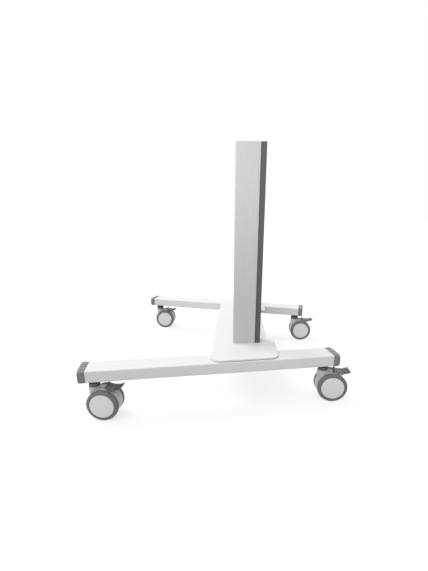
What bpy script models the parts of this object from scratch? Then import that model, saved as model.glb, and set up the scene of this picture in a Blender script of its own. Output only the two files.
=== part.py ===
# Mobile screen stand: two splayed tube legs on four twin-wheel casters with brake pedals, tied by a
# flat steel base plate that carries two upright profiles.
# Metres, +Z up, floor at Z = 0, front towards -Y. The two halves mirror each other across X = 0.
# Plan sizes are measured from a datum: X = 0 midway between the posts, Y = 0 on the posts' front
# faces. At the end the whole stand is moved so that its box is centred over the world origin.

import math

import bmesh
import bpy
from mathutils import Matrix, Vector

# Clearances
SEAT_GAP = 0.0003          # between pieces that touch
HOLE_GAP = 0.0003          # round a shank, pin or axle in its hole
WHEEL_SIDE_GAP = 0.0006    # between the hood's web and each wheel
TREAD_GAP = 0.0014         # between the hood and the wheels' treads

# Legs: rectangular steel tube
LEG_SPLAY = math.radians(11.9)
LEG_HALF_SPACING = 0.2684  # from the middle of the stand to a leg's centre line, at the datum
LEG_AHEAD = 0.3364         # tube in front of the datum, along the leg
LEG_BEHIND = 0.249         # tube behind the datum, along the leg
LEG_WIDTH = 0.055
LEG_HEIGHT = 0.028
LEG_WALL = 0.002
LEG_CORNER = 0.0042

# End caps: a moulded head outside the tube and a plug inside it
CAP_LENGTH = 0.0152
CAP_PROUD = 0.0012
CAP_EDGE = 0.003
PLUG_LENGTH = 0.026

# Base plate
PLATE_THICKNESS = 0.0044
PLATE_FRONT = 0.053        # ahead of the datum
PAD_REAR = 0.112           # behind the datum, over the legs
SPINE_REAR = 0.092         # behind the datum, between the posts
PAD_INNER = 0.1465         # half the width of the narrow middle
PLATE_INSET = 0.0025       # plate edge inside the leg's outer face
PLATE_CORNER = 0.025
STEP_CORNER = 0.006
PLATE_EDGE = 0.0008
STUD_RADIUS = 0.004
STUD_AHEAD = 0.028
STUD_BEHIND = 0.078
NUT_ACROSS_FLATS = 0.013
NUT_HEIGHT = 0.005
STUD_TAIL = 0.0008         # stud past the nut

# Posts: wedge-shaped aluminium profile with a separate back cover that makes a cable channel
POST_TOP = 0.6156
POST_SPACING = 0.3248      # between the two centre lines
POST_FRONT_WIDTH = 0.048
POST_BACK_WIDTH = 0.032
POST_DEPTH = 0.0717
PROFILE_DEPTH = 0.0578
PROFILE_WALL = 0.0025
PROFILE_CORNER = 0.003
PROFILE_BACK_CORNER = 0.0009
COVER_WALL = 0.002
COVER_CORNER = 0.003
COVER_SETBACK = 0.0004     # cover side inside the line of the profile's side
FOOT_HEIGHT = 0.025
HEAD_HEIGHT = 0.018
HEAD_RECESS = 0.001
POST_SCREW_RADIUS = 0.004
POST_SCREW_REACH = 0.018   # into the foot
POST_SCREW_TIP_ROOM = 0.002
SCREW_HEAD_RADIUS = 0.007
SCREW_HEAD_HEIGHT = 0.0044
SCREW_HEAD_EDGE = 0.0024
POST_SCREW_PITCH = 0.026
POST_SCREW_START = 0.016   # first screw behind the post's front face

# Casters
CASTER_HEIGHT = 0.0974     # floor to the leg's underside
STEM_RADIUS = 0.005
STEM_REACH = 0.0215        # above the leg's underside
SPIGOT_RADIUS = 0.006
SPIGOT_LENGTH = 0.030
SPIGOT_TIP_ROOM = 0.001
COLLAR_RADIUS = 0.0133     # out to the tube's end, so the end cap's head clears it
COLLAR_HEIGHT = 0.0188
COLLAR_EDGE = 0.0012
CASTER_TRAIL = 0.0222
WHEEL_RADIUS = 0.0375
WHEEL_INNER = 0.0145       # caster middle to the wheel's inner side
TYRE_OUTER = 0.0250        # caster middle to the tyre's outer side
HUB_OUTER = 0.0256         # caster middle to the rim of the disc
HUB_CROWN = 0.0008         # the disc's middle beyond its rim
DISC_RADIUS = 0.0284
DISC_EDGE = 0.001
DISC_WALL = 0.0026
RIM_WALL = 0.003
HUB_BOSS_RADIUS = 0.0075
TREAD_SHOULDER = 0.0022
TREAD_INNER_EDGE = 0.0015
AXLE_RADIUS = 0.004
AXLE_HALF_LENGTH = 0.0208
HOOD_RADIUS = 0.0362
HOOD_FLOOR_ROOM = 0.010
TOWER_RADIUS = 0.0136
TOWER_EDGE = 0.0012
TOWER_BOTTOM = 0.030

# Brake pedals, in the caster's own frame: Y behind the stem, Z above the floor
PEDAL_PIN_Y = 0.031
PEDAL_PIN_Z = 0.0724
PEDAL_PIN_RADIUS = 0.0015
PIN_END_ROOM = 0.0003
PIN_BOSS_RADIUS = 0.0034
PEDAL_WIDTH = 0.030
PEDAL_NECK_WIDTH = 0.018
PEDAL_NECK_END = 0.0295
PEDAL_FRONT = 0.0265
PEDAL_UNDERSIDE = ((PEDAL_FRONT, 0.0778), (0.040, 0.0737), (0.050, 0.0708), (0.0655, 0.0757))
PEDAL_THICKNESS = 0.0028
PEDAL_EDGE = 0.0008
PEDAL_CORNER = 0.001
PEDAL_SHOULDER = 0.0015
TONGUE_HALF_WIDTH = 0.0036
TONGUE_RADIUS = 0.0038
SLOT_ROOM = 0.0006
END_ROUNDING = 0.9         # of the half width, where a tongue or its slot ends

# Facets round a full turn
TREAD_STEPS = 28
DISC_STEPS = 24
TOWER_STEPS = 20
SMALL_STEPS = 12
HEXAGON = 6
PLATE_CORNER_STEPS = 5     # round a quarter turn, like the next two
CORNER_STEPS = 3
EDGE_STEPS = 2

# Mesh upkeep
MERGE = 0.000002
FLAT = 0.002               # faces that bend by less are joined before a bevel, in radians
BEND = 0.5                 # edges that bend by more get the bevel, in radians
SMOOTH_BEND = math.radians(35)
PIVOT_MARK = 0.02

# Worked-out sizes
LEG_UNDERSIDE = CASTER_HEIGHT
LEG_TOP = LEG_UNDERSIDE + LEG_HEIGHT
PLATE_BOTTOM = LEG_TOP + SEAT_GAP
PLATE_TOP = PLATE_BOTTOM + PLATE_THICKNESS
POST_BOTTOM = PLATE_TOP + SEAT_GAP
STEM_INSET = COLLAR_RADIUS
STEM_FRONT = -LEG_AHEAD + STEM_INSET
STEM_REAR = LEG_BEHIND - STEM_INSET
COLLAR_TOP = CASTER_HEIGHT - SEAT_GAP
COLLAR_BOTTOM = CASTER_HEIGHT - COLLAR_HEIGHT
HOOD_TOP = COLLAR_BOTTOM - SEAT_GAP
WEB_HALF_WIDTH = WHEEL_INNER - WHEEL_SIDE_GAP
AXLE_HEIGHT = WHEEL_RADIUS * math.cos(math.pi / TREAD_STEPS)   # wheels stand on a flat of the tread
TYRE_INNER_RADIUS = (DISC_RADIUS + SEAT_GAP) / math.cos(math.pi / TREAD_STEPS)
SIDE_SLOPE = (POST_FRONT_WIDTH - POST_BACK_WIDTH) / 2 / POST_DEPTH

SIDES = {"right": 1, "left": -1}
STEMS = {"front": STEM_FRONT, "rear": STEM_REAR}
STUDS = {"front": -STUD_AHEAD, "rear": STUD_BEHIND}
SCREWS = {"front": POST_SCREW_START, "rear": POST_SCREW_START + POST_SCREW_PITCH}


# Scene and collections

def empty_scene():
    for thing in list(bpy.data.objects):
        bpy.data.objects.remove(thing, do_unlink=True)


def new_collection(name):
    collection = bpy.data.collections.new(name)
    bpy.context.scene.collection.children.link(collection)
    return collection


empty_scene()
STAND = new_collection("mobile_tv_stand")
CUTTERS = new_collection("cutters")


# Materials

def finish(name, colour, roughness, metallic=0.0):
    material = bpy.data.materials.new(name)
    material.use_nodes = True
    shader = material.node_tree.nodes["Principled BSDF"]
    shader.inputs["Base Color"].default_value = (*colour, 1.0)
    shader.inputs["Roughness"].default_value = roughness
    shader.inputs["Metallic"].default_value = metallic
    return material


WHITE_STEEL = finish("white_powder_coat", (0.86, 0.86, 0.86), 0.42)
ANODISED = finish("silver_anodised_aluminium", (0.62, 0.62, 0.63), 0.38, 0.6)
DARK_COVER = finish("dark_grey_profile", (0.13, 0.13, 0.135), 0.45)
CAP_GREY = finish("grey_polypropylene", (0.17, 0.17, 0.175), 0.5)
HOOD_GREY = finish("light_grey_nylon", (0.50, 0.50, 0.51), 0.42)
DISC_GREY = finish("pale_grey_nylon", (0.63, 0.63, 0.64), 0.4)
TREAD_GREY = finish("grey_soft_tread", (0.15, 0.15, 0.15), 0.7)
PEDAL_GREY = finish("dark_grey_nylon", (0.07, 0.07, 0.075), 0.5)
ZINC_STEEL = finish("zinc_plated_steel", (0.55, 0.55, 0.56), 0.35, 1.0)
BLACK_STEEL = finish("blackened_steel", (0.05, 0.05, 0.052), 0.45, 0.6)
CAST_BLOCK = finish("cast_aluminium", (0.5, 0.5, 0.5), 0.55, 0.8)


# Outlines

def rounded(corners, steps=CORNER_STEPS):
    """Points of a closed outline whose corners (x, y, radius) are rounded by arcs."""
    points = []
    count = len(corners)
    for index, (x, y, radius) in enumerate(corners):
        here = Vector((x, y))
        if radius <= 0:
            points.append(here)
            continue
        before = (Vector(corners[index - 1][:2]) - here).normalized()
        after = (Vector(corners[(index + 1) % count][:2]) - here).normalized()
        half_angle = before.angle(after) / 2
        centre = here + (before + after).normalized() * radius / math.sin(half_angle)
        start = here + before * radius / math.tan(half_angle) - centre
        turn = start.angle_signed(here + after * radius / math.tan(half_angle) - centre)
        for step in range(steps + 1):
            points.append(centre + Matrix.Rotation(-turn * step / steps, 2) @ start)
    return points


def rectangle(width, height, radius, middle=(0.0, 0.0)):
    x, y = width / 2, height / 2
    corners = [(-x, -y), (x, -y), (x, y), (-x, y)]
    return rounded([(middle[0] + cx, middle[1] + cy, radius) for cx, cy in corners])


# Solids. Each maker returns an object that holds a finished closed mesh.

def tidy(mesh):
    shape = bmesh.new()
    shape.from_mesh(mesh)
    bmesh.ops.remove_doubles(shape, verts=shape.verts, dist=MERGE)
    bmesh.ops.dissolve_degenerate(shape, edges=shape.edges, dist=MERGE)
    bmesh.ops.recalc_face_normals(shape, faces=shape.faces)
    shape.to_mesh(mesh)
    shape.free()
    return mesh


def solid(name, mesh):
    thing = bpy.data.objects.new(name, mesh)
    CUTTERS.objects.link(thing)
    return thing


def evaluated_mesh(thing):
    bpy.context.view_layer.update()
    depsgraph = bpy.context.evaluated_depsgraph_get()
    return bpy.data.meshes.new_from_object(thing.evaluated_get(depsgraph))


def prism(name, outlines, height, base=0.0):
    """A flat outline, with any inner outlines as holes, made into a solid from base upwards."""
    curve = bpy.data.curves.new(name, "CURVE")
    curve.dimensions = "2D"
    curve.fill_mode = "BOTH"
    curve.extrude = height / 2
    for outline in outlines:
        spline = curve.splines.new("POLY")
        spline.points.add(len(outline) - 1)
        for point, place in zip(spline.points, outline):
            point.co = (place[0], place[1], 0.0, 1.0)
        spline.use_cyclic_u = True
    drawn = bpy.data.objects.new(name, curve)
    CUTTERS.objects.link(drawn)
    mesh = tidy(evaluated_mesh(drawn))
    mesh.transform(Matrix.Translation((0, 0, base + height / 2)))
    bpy.data.objects.remove(drawn)
    return solid(name, mesh)


def cylinder(name, radius, bottom, top, steps=SMALL_STEPS, at=(0.0, 0.0)):
    shape = bmesh.new()
    place = Matrix.Translation((at[0], at[1], (bottom + top) / 2))
    bmesh.ops.create_cone(shape, cap_ends=True, segments=steps, radius1=radius, radius2=radius,
                          depth=top - bottom, matrix=place)
    mesh = bpy.data.meshes.new(name)
    shape.to_mesh(mesh)
    shape.free()
    return solid(name, mesh)


def turned(name, profile, steps, closed=False):
    """A profile of (radius, height) points, listed down its outer side, turned about Z."""
    mesh = bpy.data.meshes.new(name)
    links = [(index, index + 1) for index in range(len(profile) - 1)]
    if closed:
        links.append((len(profile) - 1, 0))
    mesh.from_pydata([(radius, 0, height) for radius, height in profile], links, [])
    drawn = solid(name, mesh)
    screw = drawn.modifiers.new("turn", "SCREW")
    screw.axis = "Z"
    screw.steps = steps
    screw.render_steps = steps
    screw.use_merge_vertices = True
    screw.merge_threshold = MERGE
    made = tidy(evaluated_mesh(drawn))
    bpy.data.objects.remove(drawn)
    return solid(name, made)


def hole(name, radius, bottom, top, at=(0.0, 0.0), steps=SMALL_STEPS):
    """Cutter for a hole whose flats clear a shank of the given radius by the hole gap."""
    return cylinder(name, (radius + HOLE_GAP) / math.cos(math.pi / steps), bottom, top, steps, at)


LIE_ALONG_X = Matrix.Rotation(math.pi / 2, 4, "Y")
SIDE_VIEW = Matrix(((0, 0, 1, 0), (1, 0, 0, 0), (0, 1, 0, 0), (0, 0, 0, 1)))   # (x, y, z) to (z, x, y)


def moved(thing, matrix):
    thing.data.transform(matrix)
    return thing


def combine(thing, other, operation):
    """Union, difference or intersection of two solids, as a finished mesh."""
    boolean = thing.modifiers.new(operation.lower(), "BOOLEAN")
    boolean.operation = operation
    boolean.solver = "EXACT"
    boolean.object = other
    made = tidy(evaluated_mesh(thing))
    name = thing.name
    bpy.data.objects.remove(thing)
    bpy.data.objects.remove(other)
    return solid(name, made)


def softened(thing, pick, width, segments):
    """Bevels the edges whose two ends both pass the test."""
    shape = bmesh.new()
    shape.from_mesh(thing.data)
    bmesh.ops.dissolve_limit(shape, angle_limit=FLAT, verts=shape.verts, edges=shape.edges)
    edges = [edge for edge in shape.edges
             if pick(edge.verts[0].co) and pick(edge.verts[1].co) and edge.calc_face_angle(0) > BEND]
    bmesh.ops.bevel(shape, geom=edges, offset=width, segments=segments, profile=0.5,
                    affect="EDGES", clamp_overlap=True)
    shape.to_mesh(thing.data)
    shape.free()
    tidy(thing.data)
    return thing


# Placing pieces in the stand

def placed(name, shape, material, parent, location=(0, 0, 0), turn=0.0):
    """A named piece of the stand. Copies share the mesh of the shape that they are made from."""
    mesh = shape.data
    if not mesh.materials:
        mesh.materials.append(material)
        mesh.shade_smooth()
        mesh.set_sharp_from_angle(angle=SMOOTH_BEND)
    piece = bpy.data.objects.new(name, mesh)
    STAND.objects.link(piece)
    piece.parent = parent
    piece.location = location
    piece.rotation_euler = (0, 0, turn)
    return piece


def pivot(name, parent, location):
    empty = bpy.data.objects.new(name, None)
    STAND.objects.link(empty)
    empty.empty_display_size = PIVOT_MARK
    empty.parent = parent
    empty.location = location
    return empty


def on_leg(side, along):
    """Plan place of a point on a leg's centre line, given its distance along the leg."""
    x = LEG_HALF_SPACING - along * math.sin(LEG_SPLAY)
    return (SIDES[side] * x, along * math.cos(LEG_SPLAY))


# Frame shapes

def leg_shape():
    outer = rectangle(LEG_WIDTH, LEG_HEIGHT, LEG_CORNER)
    inner = rectangle(LEG_WIDTH - 2 * LEG_WALL, LEG_HEIGHT - 2 * LEG_WALL, LEG_CORNER - LEG_WALL)
    tube = prism("leg", [outer, inner], LEG_AHEAD + LEG_BEHIND)
    stand_up = Matrix.Rotation(-math.pi / 2, 4, "X")
    lift = Matrix.Translation((0, -LEG_AHEAD, LEG_HEIGHT / 2))
    tube = moved(tube, lift @ stand_up)
    for along in STEMS.values():
        tube = combine(tube, hole("stem_hole", STEM_RADIUS, -LEG_WALL, 2 * LEG_WALL, (0, along)),
                       "DIFFERENCE")
    for along in STUDS.values():
        through = hole("stud_hole", STUD_RADIUS, -LEG_WALL, LEG_HEIGHT + LEG_WALL, (0, along))
        tube = combine(tube, through, "DIFFERENCE")
    return tube


def end_cap_shape():
    """Head outside the tube towards +Y, plug inside it, with a hole for the caster's stem."""
    head = prism("cap", [rectangle(LEG_WIDTH + 2 * CAP_PROUD, LEG_HEIGHT + 2 * CAP_PROUD,
                                   LEG_CORNER + CAP_PROUD)], CAP_LENGTH - SEAT_GAP, SEAT_GAP)
    head = softened(head, lambda corner: corner.z > CAP_LENGTH - SEAT_GAP, CAP_EDGE, EDGE_STEPS)
    fit = 2 * (LEG_WALL + SEAT_GAP)
    plug = prism("plug", [rectangle(LEG_WIDTH - fit, LEG_HEIGHT - fit, LEG_CORNER - LEG_WALL)],
                 PLUG_LENGTH + CAP_LENGTH / 2, -PLUG_LENGTH)
    cap = combine(head, plug, "UNION")
    cap = moved(cap, Matrix.Translation((0, 0, LEG_HEIGHT / 2)) @ Matrix.Rotation(-math.pi / 2, 4, "X"))
    socket = hole("stem_socket", STEM_RADIUS, 0, LEG_HEIGHT - 2 * LEG_WALL, (0, -STEM_INSET))
    return combine(cap, socket, "DIFFERENCE")


def plate_edge_x(y):
    """Half width of the plate at a distance behind the datum, along the leg's outer face."""
    half_leg = (LEG_WIDTH / 2 - PLATE_INSET) / math.cos(LEG_SPLAY)
    return LEG_HALF_SPACING - y * math.tan(LEG_SPLAY) + half_leg


def base_plate_shape():
    half = [
        (plate_edge_x(-PLATE_FRONT), -PLATE_FRONT, PLATE_CORNER),
        (plate_edge_x(PAD_REAR), PAD_REAR, PLATE_CORNER),
        (PAD_INNER, PAD_REAR, STEP_CORNER),
        (PAD_INNER, SPINE_REAR, STEP_CORNER),
    ]
    mirrored = [(-x, y, radius) for x, y, radius in reversed(half)]
    outline = rounded(half + mirrored, PLATE_CORNER_STEPS)
    plate = prism("plate", [outline], PLATE_THICKNESS, PLATE_BOTTOM)
    plate = softened(plate, lambda corner: corner.z > PLATE_TOP - PLATE_THICKNESS / 2, PLATE_EDGE, 1)
    tail = LEG_UNDERSIDE - SEAT_GAP - NUT_HEIGHT - STUD_TAIL
    for side in SIDES:
        for along in STUDS.values():
            stud = cylinder("stud", STUD_RADIUS, tail, PLATE_BOTTOM + PLATE_THICKNESS / 2,
                            at=on_leg(side, along))
            plate = combine(plate, stud, "UNION")
        for y in SCREWS.values():
            through = hole("screw_hole", POST_SCREW_RADIUS, PLATE_BOTTOM - PLATE_THICKNESS,
                           PLATE_TOP + PLATE_THICKNESS, (SIDES[side] * POST_SPACING / 2, y))
            plate = combine(plate, through, "DIFFERENCE")
    return plate


def leg_nut_shape():
    corner = NUT_ACROSS_FLATS / 2 / math.cos(math.pi / HEXAGON)
    bottom = LEG_UNDERSIDE - SEAT_GAP - NUT_HEIGHT
    nut = cylinder("nut", corner, bottom, LEG_UNDERSIDE - SEAT_GAP, HEXAGON)
    return combine(nut, hole("nut_hole", STUD_RADIUS, bottom - NUT_HEIGHT, LEG_TOP), "DIFFERENCE")


# Post shapes, each about the post's own centre line, front face at Y = 0

def post_half_width(y):
    return POST_FRONT_WIDTH / 2 - y * SIDE_SLOPE


def profile_hollow(inset):
    """The inside outline of the aluminium profile, drawn in by a further inset."""
    wall = PROFILE_WALL + inset
    side = wall / math.cos(math.atan(SIDE_SLOPE))
    front, back = wall, PROFILE_DEPTH - wall
    radius = PROFILE_CORNER - PROFILE_WALL + inset
    return rounded([
        (-(post_half_width(front) - side), front, radius),
        (post_half_width(front) - side, front, radius),
        (post_half_width(back) - side, back, radius),
        (-(post_half_width(back) - side), back, radius),
    ], EDGE_STEPS)


def post_profile_shape():
    front, back = post_half_width(0), post_half_width(PROFILE_DEPTH)
    outer = rounded([
        (-front, 0, PROFILE_CORNER),
        (front, 0, PROFILE_CORNER),
        (back, PROFILE_DEPTH, PROFILE_BACK_CORNER),
        (-back, PROFILE_DEPTH, PROFILE_BACK_CORNER),
    ])
    return prism("post", [outer, profile_hollow(0)], POST_TOP - POST_BOTTOM, POST_BOTTOM)


def back_cover_shape():
    """A channel that is open towards the profile's back wall, so that cables run between them."""
    start = PROFILE_DEPTH + SEAT_GAP
    near = post_half_width(start) - COVER_SETBACK
    far = post_half_width(POST_DEPTH) - COVER_SETBACK
    inner_back = POST_DEPTH - COVER_WALL
    inner_far = post_half_width(inner_back) - COVER_SETBACK - COVER_WALL
    outline = rounded([
        (near, start, 0),
        (far, POST_DEPTH, COVER_CORNER),
        (-far, POST_DEPTH, COVER_CORNER),
        (-near, start, 0),
        (-(near - COVER_WALL), start, 0),
        (-inner_far, inner_back, COVER_CORNER - COVER_WALL),
        (inner_far, inner_back, COVER_CORNER - COVER_WALL),
        (near - COVER_WALL, start, 0),
    ])
    return prism("cover", [outline], POST_TOP - POST_BOTTOM, POST_BOTTOM)


def post_foot_shape():
    foot = prism("foot", [profile_hollow(SEAT_GAP)], FOOT_HEIGHT, POST_BOTTOM)
    depth = POST_BOTTOM + POST_SCREW_REACH + POST_SCREW_TIP_ROOM
    for y in SCREWS.values():
        tapped = hole("tapped_hole", POST_SCREW_RADIUS, PLATE_BOTTOM, depth, (0, y))
        foot = combine(foot, tapped, "DIFFERENCE")
    return foot


def post_head_shape():
    top = POST_TOP - HEAD_RECESS
    return prism("head", [profile_hollow(SEAT_GAP)], HEAD_HEIGHT, top - HEAD_HEIGHT)


def post_screw_shape():
    """Button head under the plate, shank up through it into the foot."""
    under = PLATE_BOTTOM - SEAT_GAP
    return turned("screw", [
        (0, POST_BOTTOM + POST_SCREW_REACH),
        (POST_SCREW_RADIUS, POST_BOTTOM + POST_SCREW_REACH),
        (POST_SCREW_RADIUS, under),
        (SCREW_HEAD_RADIUS, under),
        (SCREW_HEAD_RADIUS, under - SCREW_HEAD_HEIGHT + SCREW_HEAD_EDGE),
        (SCREW_HEAD_RADIUS - SCREW_HEAD_EDGE, under - SCREW_HEAD_HEIGHT),
        (0, under - SCREW_HEAD_HEIGHT),
    ], SMALL_STEPS)


# Caster shapes, in the caster's own frame: stem axis on Z, wheels behind it towards +Y

def stem_shape():
    """Threaded shank in the leg, bearing collar under it, spigot for the hood to turn on."""
    return turned("stem", [
        (0, CASTER_HEIGHT + STEM_REACH),
        (STEM_RADIUS, CASTER_HEIGHT + STEM_REACH),
        (STEM_RADIUS, COLLAR_TOP),
        (COLLAR_RADIUS, COLLAR_TOP),
        (COLLAR_RADIUS, COLLAR_BOTTOM + COLLAR_EDGE),
        (COLLAR_RADIUS - COLLAR_EDGE, COLLAR_BOTTOM),
        (SPIGOT_RADIUS, COLLAR_BOTTOM),
        (SPIGOT_RADIUS, COLLAR_BOTTOM - SPIGOT_LENGTH),
        (0, COLLAR_BOTTOM - SPIGOT_LENGTH),
    ], TOWER_STEPS)


def crosswise(rod, y, z):
    """Lays a solid that was made along Z along X, at a place in the caster's side view."""
    return moved(rod, Matrix.Translation((0, y, z)) @ LIE_ALONG_X)


def side_slab(name, outline, half_width):
    """A side view outline (y, z) made into a solid that is centred on the caster's middle."""
    return moved(prism(name, [outline], 2 * half_width, -half_width), SIDE_VIEW)


def hood_shape():
    """Tower round the stem and a round web between the wheels, cleared for the wheels."""
    overlap = max(TOWER_RADIUS, WEB_HALF_WIDTH) + TREAD_GAP
    web = cylinder("hood", HOOD_RADIUS, -overlap, overlap, TREAD_STEPS)
    web = crosswise(web, CASTER_TRAIL, AXLE_HEIGHT)
    tower = turned("tower", [
        (0, HOOD_TOP),
        (TOWER_RADIUS - TOWER_EDGE, HOOD_TOP),
        (TOWER_RADIUS, HOOD_TOP - TOWER_EDGE),
        (TOWER_RADIUS, TOWER_BOTTOM),
        (0, TOWER_BOTTOM),
    ], TOWER_STEPS)
    hood = combine(web, tower, "UNION")
    clear = WHEEL_RADIUS + TREAD_GAP
    for sign in (1, -1):
        near, far = sorted((sign * WEB_HALF_WIDTH, sign * (overlap + TREAD_GAP)))
        space = cylinder("wheel_space", clear, near, far, 2 * TREAD_STEPS)
        hood = combine(hood, crosswise(space, CASTER_TRAIL, AXLE_HEIGHT), "DIFFERENCE")
    boss = cylinder("boss", PIN_BOSS_RADIUS, -WEB_HALF_WIDTH, WEB_HALF_WIDTH)
    hood = combine(hood, crosswise(boss, PEDAL_PIN_Y, PEDAL_PIN_Z), "UNION")
    reach = CASTER_TRAIL + HOOD_RADIUS
    below = [(-reach, -reach), (reach, -reach), (reach, HOOD_FLOOR_ROOM), (-reach, HOOD_FLOOR_ROOM)]
    hood = combine(hood, side_slab("floor_room", below, overlap), "DIFFERENCE")
    bottom = COLLAR_BOTTOM - SPIGOT_LENGTH - SPIGOT_TIP_ROOM
    bore = hole("spigot_bore", SPIGOT_RADIUS, bottom, CASTER_HEIGHT, steps=TOWER_STEPS)
    hood = combine(hood, bore, "DIFFERENCE")
    axle_hole = hole("axle_hole", AXLE_RADIUS, -overlap, overlap)
    hood = combine(hood, crosswise(axle_hole, CASTER_TRAIL, AXLE_HEIGHT), "DIFFERENCE")
    pin_hole = hole("pin_hole", PEDAL_PIN_RADIUS, -overlap, overlap)
    hood = combine(hood, crosswise(pin_hole, PEDAL_PIN_Y, PEDAL_PIN_Z), "DIFFERENCE")
    swing = TONGUE_RADIUS + SLOT_ROOM
    slot = rounded([
        (PEDAL_PIN_Y - swing, PEDAL_PIN_Z - swing, swing * END_ROUNDING),
        (PEDAL_PIN_Y + swing, PEDAL_PIN_Z - swing, swing * END_ROUNDING),
        (PEDAL_PIN_Y + swing, PEDAL_PIN_Z + 2 * swing, 0),
        (PEDAL_PIN_Y - swing, PEDAL_PIN_Z + 2 * swing, 0),
    ])
    return combine(hood, side_slab("tongue_slot", slot, TONGUE_HALF_WIDTH + SLOT_ROOM), "DIFFERENCE")


def hub_shape():
    """Wheel body, axle along X, outer side towards +X: disc, rim, and a boss with a blind bore."""
    back = HUB_OUTER - DISC_WALL
    rim = DISC_RADIUS - RIM_WALL
    bore = (AXLE_RADIUS + HOLE_GAP) / math.cos(math.pi / DISC_STEPS)
    profile = [
        (0, HUB_OUTER + HUB_CROWN),
        (DISC_RADIUS - DISC_EDGE, HUB_OUTER),
        (DISC_RADIUS, HUB_OUTER - DISC_EDGE),
        (DISC_RADIUS, WHEEL_INNER + SEAT_GAP),
        (rim, WHEEL_INNER + SEAT_GAP),
        (rim, back),
        (HUB_BOSS_RADIUS, back),
        (HUB_BOSS_RADIUS, WHEEL_INNER),
        (bore, WHEEL_INNER),
        (bore, AXLE_HALF_LENGTH + SEAT_GAP),
        (0, AXLE_HALF_LENGTH + SEAT_GAP),
    ]
    hub = turned("hub", profile, DISC_STEPS)
    return moved(hub, Matrix.Rotation(math.pi / DISC_STEPS, 4, "X") @ LIE_ALONG_X)


def tyre_shape():
    """Soft tread ring with a rounded outer shoulder, axle along X, outer side towards +X."""
    profile = [(TYRE_INNER_RADIUS, TYRE_OUTER)]
    for step in range(CORNER_STEPS + 1):
        angle = math.pi / 2 * step / CORNER_STEPS
        radius = WHEEL_RADIUS - TREAD_SHOULDER * (1 - math.sin(angle))
        profile.append((radius, TYRE_OUTER - TREAD_SHOULDER * (1 - math.cos(angle))))
    profile.append((WHEEL_RADIUS, WHEEL_INNER + TREAD_INNER_EDGE))
    profile.append((WHEEL_RADIUS - TREAD_INNER_EDGE, WHEEL_INNER))
    profile.append((TYRE_INNER_RADIUS, WHEEL_INNER))
    tyre = turned("tyre", profile, TREAD_STEPS, closed=True)
    return moved(tyre, Matrix.Rotation(math.pi / TREAD_STEPS, 4, "X") @ LIE_ALONG_X)


def axle_shape():
    return crosswise(cylinder("rod", AXLE_RADIUS, -AXLE_HALF_LENGTH, AXLE_HALF_LENGTH), 0, 0)


def pedal_pin_shape():
    half = WEB_HALF_WIDTH - PIN_END_ROOM
    return crosswise(cylinder("pin", PEDAL_PIN_RADIUS, -half, half), 0, 0)


def pedal_middle(y):
    """Height of the middle of the pedal's thickness, over its front part."""
    (front, high), (rear, low) = PEDAL_UNDERSIDE[:2]
    return high + (y - front) * (low - high) / (rear - front) + PEDAL_THICKNESS / 2


def pedal_shape():
    """Foot pedal over both wheels, with a tongue round its pin. Its origin is on the pin's axis."""
    top = [(y, z + PEDAL_THICKNESS) for y, z in reversed(PEDAL_UNDERSIDE)]
    outline = rounded([(y, z, PEDAL_EDGE) for y, z in list(PEDAL_UNDERSIDE) + top], EDGE_STEPS)
    pedal = side_slab("pedal", outline, PEDAL_WIDTH)
    tip = PEDAL_UNDERSIDE[-1][0] + PEDAL_THICKNESS
    half, neck = PEDAL_WIDTH / 2, PEDAL_NECK_WIDTH / 2
    plan = rounded([
        (-neck, PEDAL_FRONT - PEDAL_THICKNESS, 0),
        (neck, PEDAL_FRONT - PEDAL_THICKNESS, 0),
        (neck, PEDAL_FRONT, PEDAL_CORNER),
        (half, PEDAL_NECK_END, PEDAL_SHOULDER),
        (half, tip, PEDAL_CORNER),
        (-half, tip, PEDAL_CORNER),
        (-half, PEDAL_NECK_END, PEDAL_SHOULDER),
        (-neck, PEDAL_FRONT, PEDAL_CORNER),
    ])
    pedal = combine(pedal, prism("pedal_plan", [plan], CASTER_HEIGHT), "INTERSECT")
    ahead, behind = PEDAL_PIN_Y - TONGUE_RADIUS, PEDAL_PIN_Y + TONGUE_RADIUS
    tongue = rounded([
        (ahead, PEDAL_PIN_Z - TONGUE_RADIUS, TONGUE_RADIUS * END_ROUNDING),
        (behind, PEDAL_PIN_Z - TONGUE_RADIUS, TONGUE_RADIUS * END_ROUNDING),
        (behind, pedal_middle(behind), 0),
        (ahead, pedal_middle(ahead), 0),
    ])
    pedal = combine(pedal, side_slab("tongue", tongue, TONGUE_HALF_WIDTH), "UNION")
    pin_hole = hole("pin_hole", PEDAL_PIN_RADIUS, -PEDAL_WIDTH, PEDAL_WIDTH)
    pedal = combine(pedal, crosswise(pin_hole, PEDAL_PIN_Y, PEDAL_PIN_Z), "DIFFERENCE")
    return moved(pedal, Matrix.Translation((0, -PEDAL_PIN_Y, -PEDAL_PIN_Z)))


# Assembly

def build_frame(root):
    leg, cap, nut = leg_shape(), end_cap_shape(), leg_nut_shape()
    placed("base_plate", base_plate_shape(), WHITE_STEEL, root)
    for side, sign in SIDES.items():
        turn = sign * LEG_SPLAY
        middle = Vector((*on_leg(side, 0), LEG_UNDERSIDE))
        placed(f"leg_{side}", leg, WHITE_STEEL, root, middle, turn)
        for end, along in STUDS.items():
            placed(f"leg_nut_{end}_{side}", nut, ZINC_STEEL, root, (*on_leg(side, along), 0), turn)
        front = (*on_leg(side, -LEG_AHEAD), LEG_UNDERSIDE)
        rear = (*on_leg(side, LEG_BEHIND), LEG_UNDERSIDE)
        placed(f"end_cap_front_{side}", cap, CAP_GREY, root, front, turn + math.pi)
        placed(f"end_cap_rear_{side}", cap, CAP_GREY, root, rear, turn)


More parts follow.
